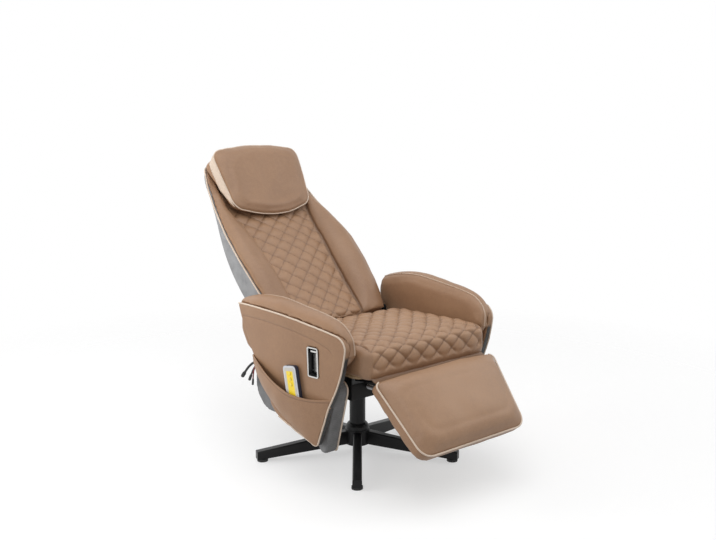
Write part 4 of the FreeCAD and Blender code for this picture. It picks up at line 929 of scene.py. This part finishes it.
class RECLINER_OT_seat(bpy.types.Operator):
    """Quilted seat cushion with a rolled front"""

    bl_idname = "recliner.seat"
    bl_label = "Seat cushion"

    def execute(self, context):
        sizes = context.scene.recliner_sizes
        mesh = finer(filled(foam("seat_cushion", sizes.voxel, smooth=14), shrink=0.004, cap=0.009))
        low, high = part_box("seat_cushion")
        co = points_of(mesh)
        no = normals_of(mesh)
        foot = smooth_step(low.y - co[:, 1], -0.05, -0.015) * smooth_step(low.z - co[:, 2], -0.03, -0.004)
        co[:, 2] -= SEAT_FRONT_DROP * foot
        across = np.abs(co[:, 0])
        along = co[:, 1] - AXIS_Y + co[:, 2] - (high.z - 0.005)
        seam = high.x - SEAT_SEAM_INSET
        inside = smooth_step(seam - across, -0.002, 0.006)
        faces_up = smooth_step(no[:, 2] - no[:, 1], -0.1, 0.35)
        above = smooth_step(co[:, 2] - low.z, 0.012, 0.03)
        mask = inside * faces_up * above
        drawn = diamond(co[:, 0], along, sizes) * mask
        side_seam = sewn_line(across - seam, SEAM_WIDTH) * smooth_step(no[:, 2], 0.55, 0.85)
        depth = drawn * sizes.quilt_depth * SEAT_QUILT_GAIN + side_seam * SEAM_DEPTH
        put_points(mesh, co - no * depth[:, None])
        # Painted shade in the sewn lines, partly their own thread, and painted light on the puffs between them.
        put_values(mesh, "seam", np.maximum(smooth_step(drawn, 0.5, 1.0), side_seam))
        put_values(mesh, "crown", mask * (1 - drawn))
        rumple(mesh, size=0.05, depth=0.0016)
        upholster("seat_quilt", mesh, "seat", "seat_cushion")
        return {"FINISHED"}


class RECLINER_OT_back(bpy.types.Operator):
    """Quilted back cushion with plain bolsters, and piping along its rim"""

    bl_idname = "recliner.back"
    bl_label = "Back cushion"

    def execute(self, context):
        sizes = context.scene.recliner_sizes
        self.cushion(sizes)
        self.rim_piping(sizes.piping_radius)
        self.end_cover()
        low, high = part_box("seat_cushion")
        flap("back_flap", start=Vector((0, high.y - 0.006, low.z + 0.052)),
             end=BACK_FRAME @ Vector((0, -0.016, 0.034)), half=0.222, dip=0.006)
        dress("back_shell", "fabric_grey", bevel=0.002)
        return {"FINISHED"}

    def cushion(self, sizes):
        """The cushion, quilted between the two seams of its bolsters."""
        mesh = finer(filled(foam("back_cushion", sizes.voxel, smooth=14), shrink=0.003, cap=0.007))
        co = points_of(mesh)
        no = normals_of(mesh)
        local = into(BACK_FRAME, co)
        across = np.abs(local[:, 0])
        seam = np.interp(local[:, 1], BACK_UP, BACK_SEAM)
        front = smooth_step(no @ np.array(BACK_FRAME.to_3x3().col[2]), 0.1, 0.5)
        inside = smooth_step(seam - across, -0.002, 0.008) * front
        drawn = diamond(local[:, 0], local[:, 1], sizes) * inside
        side_seam = sewn_line(across - seam, SEAM_WIDTH) * front
        depth = drawn * sizes.quilt_depth + side_seam * SEAM_DEPTH
        put_points(mesh, co - no * depth[:, None])
        # Painted shade in the sewn lines, partly their own thread, and painted light on the puffs between them.
        put_values(mesh, "seam", np.maximum(smooth_step(drawn, 0.5, 1.0), side_seam * 1.5))
        put_values(mesh, "crown", 0.7 * inside * (1 - drawn))
        rumple(mesh, size=0.07, depth=0.0025, mask=front)
        upholster("back_quilt", mesh, "backrest", "back_cushion")

    def rim_piping(self, radius):
        """Piping up both sides of the rim and over its top."""
        ups = np.linspace(BACK_UP[1], BACK_UP[-2], 40)
        halves = np.interp(ups, BACK_UP, BACK_HALF) + 0.001
        path = list(zip(halves, ups, np.interp(ups, BACK_UP, BACK_RIM)))
        path.append((BACK_HALF[-1], BACK_UP[-1] - 0.001, BACK_RIM[-1]))
        path.append((0.09, BACK_UP[-1] + 0.002, BACK_RIM[-1]))
        path += [(-x, up, out) for x, up, out in reversed(path)]
        piping("back_piping", out_of(BACK_FRAME, path), radius, "backrest")

    def end_cover(self):
        """Grey cloth sewn over the top end, between the shell and the cushion."""
        half = BACK_HALF[-1] - 0.001
        rim = BACK_RIM[-1] - 0.002
        shoulder = BACK_RIM[-1] - 0.022
        rear = -0.022
        ring = [(half, rim)]
        for share in np.linspace(1, -1, 25):
            ring.append(((half - 0.008) * share, shoulder + (rear - shoulder) * (1 - share ** 2)))
        ring.append((-half, rim))
        verts = []
        for up in (BACK_UP[-1] - 0.003, BACK_UP[-1] + 0.0015):
            verts += out_of(BACK_FRAME, [(x, up, out) for x, out in ring])
        count = len(ring)
        faces = [tuple(range(count)), tuple(reversed(range(count, 2 * count)))]
        for index in range(count):
            after = (index + 1) % count
            faces.append((index, index + count, after + count, after))
        mesh = bpy.data.meshes.new("end_cover")
        mesh.from_pydata(verts, [], faces)
        keep("back_end_cover", mesh, "backrest", "fabric_grey")


class RECLINER_OT_pillow(bpy.types.Operator):
    """Head pillow with piping along its front edge and a cream band on each side"""

    bl_idname = "recliner.pillow"
    bl_label = "Head pillow"

    def execute(self, context):
        mesh = finer(filled(foam("head_pillow", voxel=0.005, smooth=8), shrink=0.004, cap=0.010))
        rumple(mesh, size=0.06, depth=0.0022)
        upholster("pillow_cover", mesh, "backrest", "head_pillow")
        surface = surface_of(mesh)
        edge = rounded_run(PILLOW_HALF, PILLOW_UP, PILLOW_OUT, radii=(0.048, 0.038), bows=(0.022, 0.014))
        guide = out_of(BACK_FRAME, resampled(edge, PIPING_STEP, closed=True))
        radius = context.scene.recliner_sizes.piping_radius * 0.9
        piping("pillow_piping", on_surface(surface, guide, lift=0.0008), radius, "backrest", closed=True)
        for side, sign in (("left", 1), ("right", -1)):
            self.band(side, sign, surface)
        return {"FINISHED"}

    def band(self, side, sign, surface):
        """The cream band on one side, which tapers into the piping at its lower end."""
        rows = []
        for up in np.linspace(*BAND_ENDS, 34):
            half = np.interp(up, PILLOW_UP, PILLOW_HALF) + 0.001
            edge = np.interp(up, PILLOW_UP, PILLOW_OUT)
            full = smooth_step(up, BAND_ENDS[0], BAND_FULL_UP)
            width = BAND_WIDTHS[0] + (BAND_WIDTHS[1] - BAND_WIDTHS[0]) * full
            guide = [(sign * half, up, edge - width * share) for share in np.linspace(0, 1, 7)]
            rows.append(on_surface(surface, out_of(BACK_FRAME, guide), lift=0.001))
        mesh = mesh_of(sheet(rows), ("SOLIDIFY", {"thickness": BAND_THICKNESS, "offset": 0.0}))
        keep("pillow_boxing_" + side, mesh, "backrest", "leather_brown", "piping")


class RECLINER_OT_arms(bpy.types.Operator):
    """Leather arm panels and pads, grey side boards and their piping"""

    bl_idname = "recliner.arms"
    bl_label = "Arms"

    def execute(self, context):
        radius = context.scene.recliner_sizes.piping_radius
        for side in ("left", "right"):
            panel = self.panel(side)
            pad = self.pad(side)
            board = foam("side_board_" + side, voxel=0.005, smooth=4)
            # Its cloth is the darker copy of the shell's, as painted shade.
            piece = keep("side_cover_" + side, board, "seat", "fabric_grey", "shaded_board_grey")
            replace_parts(piece, "side_board_" + side)
            self.panel_piping(side, panel, radius)
            self.roll_piping(side, pad, radius)
            self.board_piping(side, radius)
        return {"FINISHED"}

    def panel(self, side):
        """The outer panel, with the seam below its top and painted shade on its front edge."""
        mesh = finer(foam("arm_panel_" + side, voxel=0.005, smooth=3))
        rumple(mesh, size=0.09, depth=0.0012)
        co = points_of(mesh)
        no = normals_of(mesh)
        along = co[:, 1] - AXIS_Y
        sideways = np.abs(no[:, 0])
        ends = smooth_step(along, *ARM_SEAM_FRONT) * (1 - smooth_step(along, *ARM_SEAM_REAR))
        seam = sewn_line(co[:, 2] - np.interp(along, *ARM_SEAM), ARM_SEAM_WIDTH)
        seam = seam * ends * smooth_step(sideways, 0.5, 0.8)
        put_points(mesh, co - no * (seam * ARM_SEAM_DEPTH)[:, None])
        # The seam below the arm's top is darkened, partly as its own thread and partly as painted shade in its
        # dent.
        put_values(mesh, "seam", seam * 0.45)
        # Painted shade: the front edge below the roll, which faces forward beside the seat, is marked to be
        # painted near black.
        edge = (1 - smooth_step(sideways, 0.6, 0.75)) * smooth_step(-no[:, 1], 0.1, 0.3)
        put_values(mesh, "edge_shade", edge * (1 - smooth_step(co[:, 2], *EDGE_SHADE_TOP)))
        upholster("arm_cover_" + side, mesh, "seat", "arm_panel_" + side)
        return mesh

    def pad(self, side):
        """The padded top."""
        mesh = finer(filled(foam("arm_pad_" + side, voxel=0.006, smooth=6), shrink=0.003, cap=0.006))
        rumple(mesh, size=0.06, depth=0.0018)
        upholster("arm_roll_" + side, mesh, "seat", "arm_pad_" + side)
        return mesh

    def panel_piping(self, side, panel, radius):
        """Piping along the outer panel's edge, apart from its rear."""
        loop = sharp_run("arm_panel_" + side, lambda co: abs(co.x) > arm_face(co.y, co.z) - 0.003)
        bare = [co.y - AXIS_Y > ARM_REAR_Y and co.z < ARM_REAR_Z for co in loop]
        start = next(index for index in range(len(loop)) if bare[index - 1] and not bare[index])
        turned = list(zip(loop, bare))[start:] + list(zip(loop, bare))[:start]
        guide = resampled([co for co, skip in turned if not skip], ARM_PIPING_STEP)
        piping("arm_piping_" + side, on_surface(surface_of(panel), guide, lift=0.0012), radius, "seat")

    def roll_piping(self, side, pad, radius):
        """Piping sewn along the inner edge of the padded top."""
        sign = 1 if side == "left" else -1
        guide = resampled([(sign * x, AXIS_Y + y, z) for x, y, z in ROLL_SEAM], PIPING_STEP)
        path = on_surface(surface_of(pad), guide, lift=radius * 0.3)
        # The piping's pale tan is partly a painted highlight, the light caught along the pad's inner edge.
        piping("roll_piping_" + side, path, radius * 0.8, "seat", "roll_seam_highlight")

    def board_piping(self, side, radius):
        """Piping round the inner edge of the side board."""
        inner_x = np.abs(points_of(NODES["side_board_" + side].data)[:, 0]).min()
        loop = sharp_run("side_board_" + side, lambda co: abs(co.x) < inner_x + 0.001)
        path = resampled(loop, ARM_PIPING_STEP, closed=True)
        piping("side_piping_" + side, path, radius, "seat", closed=True)


class RECLINER_OT_pocket(bpy.types.Operator):
    """Slack leather pocket on the lever's arm"""

    bl_idname = "recliner.pocket"
    bl_label = "Side pocket"

    def execute(self, context):
        mesh = foam("side_pocket", voxel=0.0016, smooth=4)
        rumple(mesh, size=0.045, depth=0.0016)
        co = points_of(mesh)
        no = normals_of(mesh)
        edge = np.interp(co[:, 1] - AXIS_Y, *POCKET_EDGE)
        hem = sewn_line(edge - co[:, 2] - HEM_DROP, HEM_WIDTH) * smooth_step(-no[:, 0], 0.3, 0.6)
        put_points(mesh, co - no * (hem * HEM_DEPTH)[:, None])
        # The hem is darkened, partly as its own thread and partly as painted shade in its fold.
        put_values(mesh, "seam", hem)
        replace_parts(keep("pocket_leather", mesh, "seat", "leather_brown"), "side_pocket")
        return {"FINISHED"}


class RECLINER_OT_leg_rest(bpy.types.Operator):
    """Leg rest pad with piping round its upper edge"""

    bl_idname = "recliner.leg_rest"
    bl_label = "Leg rest"

    def execute(self, context):
        sizes = context.scene.recliner_sizes
        mesh = finer(filled(foam("leg_rest_pad", sizes.voxel, smooth=8), shrink=0.004, cap=0.010))
        self.crown(mesh)
        rumple(mesh, size=0.07, depth=0.0022)
        upholster("leg_rest_cover", mesh, "leg_rest", "leg_rest_pad")
        edge = rounded_run(REST_HALF, REST_ALONG, (REST_OUT, REST_OUT), radii=(0.044, 0.016), closed=False)
        path = out_of(REST_FRAME, resampled(edge, PIPING_STEP))
        piping("leg_rest_piping", path, sizes.piping_radius, "leg_rest")
        low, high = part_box("seat_cushion")
        flap("leg_rest_flap", start=Vector((0, low.y + 0.010, low.z + 0.002)),
             end=REST_FRAME @ Vector((0, -0.015, 0.030)), half=0.238, dip=0.005)
        return {"FINISHED"}

    def crown(self, mesh):
        """Swell the pad's upper face, highest behind its middle and rolling down to the front, and paint light on
        the crown.
        """
        co = points_of(mesh)
        local = into(REST_FRAME, co)
        along = np.clip((REST_PAD_START - local[:, 1]) / REST_PAD_LENGTH, 0, 1)
        across = np.clip(np.abs(local[:, 0]) / np.interp(along, (0, 1), REST_HALF[::-1]), 0, 1)
        from_top = np.clip(np.abs(along - REST_CROWN_SHARE) / (1 - REST_CROWN_SHARE), 0, 1)
        swell = (1 - from_top ** 3.2) * (1 - across ** 3.4) * smooth_step(local[:, 2], 0.012, 0.036)
        out = np.array(REST_FRAME.to_3x3().col[2])
        put_points(mesh, co + out * (REST_CROWN * swell)[:, None])
        # Painted light and shade: the pad is paler on its crown and darker where it rolls down to its front and
        # sides.
        put_values(mesh, "crown", swell)


class RECLINER_OT_hardware(bpy.types.Operator):
    """Finishes of the base, the mechanism, the lever and the handset"""

    bl_idname = "recliner.hardware"
    bl_label = "Hardware"

    def execute(self, context):
        slots = {row["node"]: row["material_slot"] for row in frame["record"]["subparts"]}
        for name, node in NODES.items():
            if not node.hide_render and slots[name] not in ("fabric_grey", "leather_brown"):
                dress(name, slots[name], EDGE_WIDTHS.get(slots[name], 0))
        return {"FINISHED"}


class RECLINER_PT_sidebar(bpy.types.Panel):
    """Lists the recliner's pieces"""

    bl_idname = "RECLINER_PT_sidebar"
    bl_label = "Recliner"
    bl_space_type = "VIEW_3D"
    bl_region_type = "UI"
    bl_category = "Recliner"

    def draw(self, context):
        for operator in OPERATORS:
            self.layout.operator(operator.bl_idname)
        for group in (context.scene.recliner_sizes, context.scene.recliner_colours):
            for name in group.__annotations__:
                self.layout.prop(group, name)


OPERATORS = (RECLINER_OT_stage, RECLINER_OT_leads, RECLINER_OT_seat, RECLINER_OT_back, RECLINER_OT_pillow,
             RECLINER_OT_arms, RECLINER_OT_pocket, RECLINER_OT_leg_rest, RECLINER_OT_hardware)
CLASSES = (ReclinerColours, ReclinerSizes, *OPERATORS, RECLINER_PT_sidebar)


def register():
    for item in CLASSES:
        bpy.utils.register_class(item)
    bpy.types.Scene.recliner_colours = bpy.props.PointerProperty(type=ReclinerColours)
    bpy.types.Scene.recliner_sizes = bpy.props.PointerProperty(type=ReclinerSizes)


def unregister():
    del bpy.types.Scene.recliner_sizes
    del bpy.types.Scene.recliner_colours
    for item in reversed(CLASSES):
        bpy.utils.unregister_class(item)


def main():
    """Build every piece in order."""
    for name in ("Cube", "Light", "Camera"):
        if name in bpy.data.objects:
            bpy.data.objects.remove(bpy.data.objects[name])
    register()
    for operator in OPERATORS:
        group, name = operator.bl_idname.split(".")
        getattr(getattr(bpy.ops, group), name)()


if __name__ == "__main__":
    main()
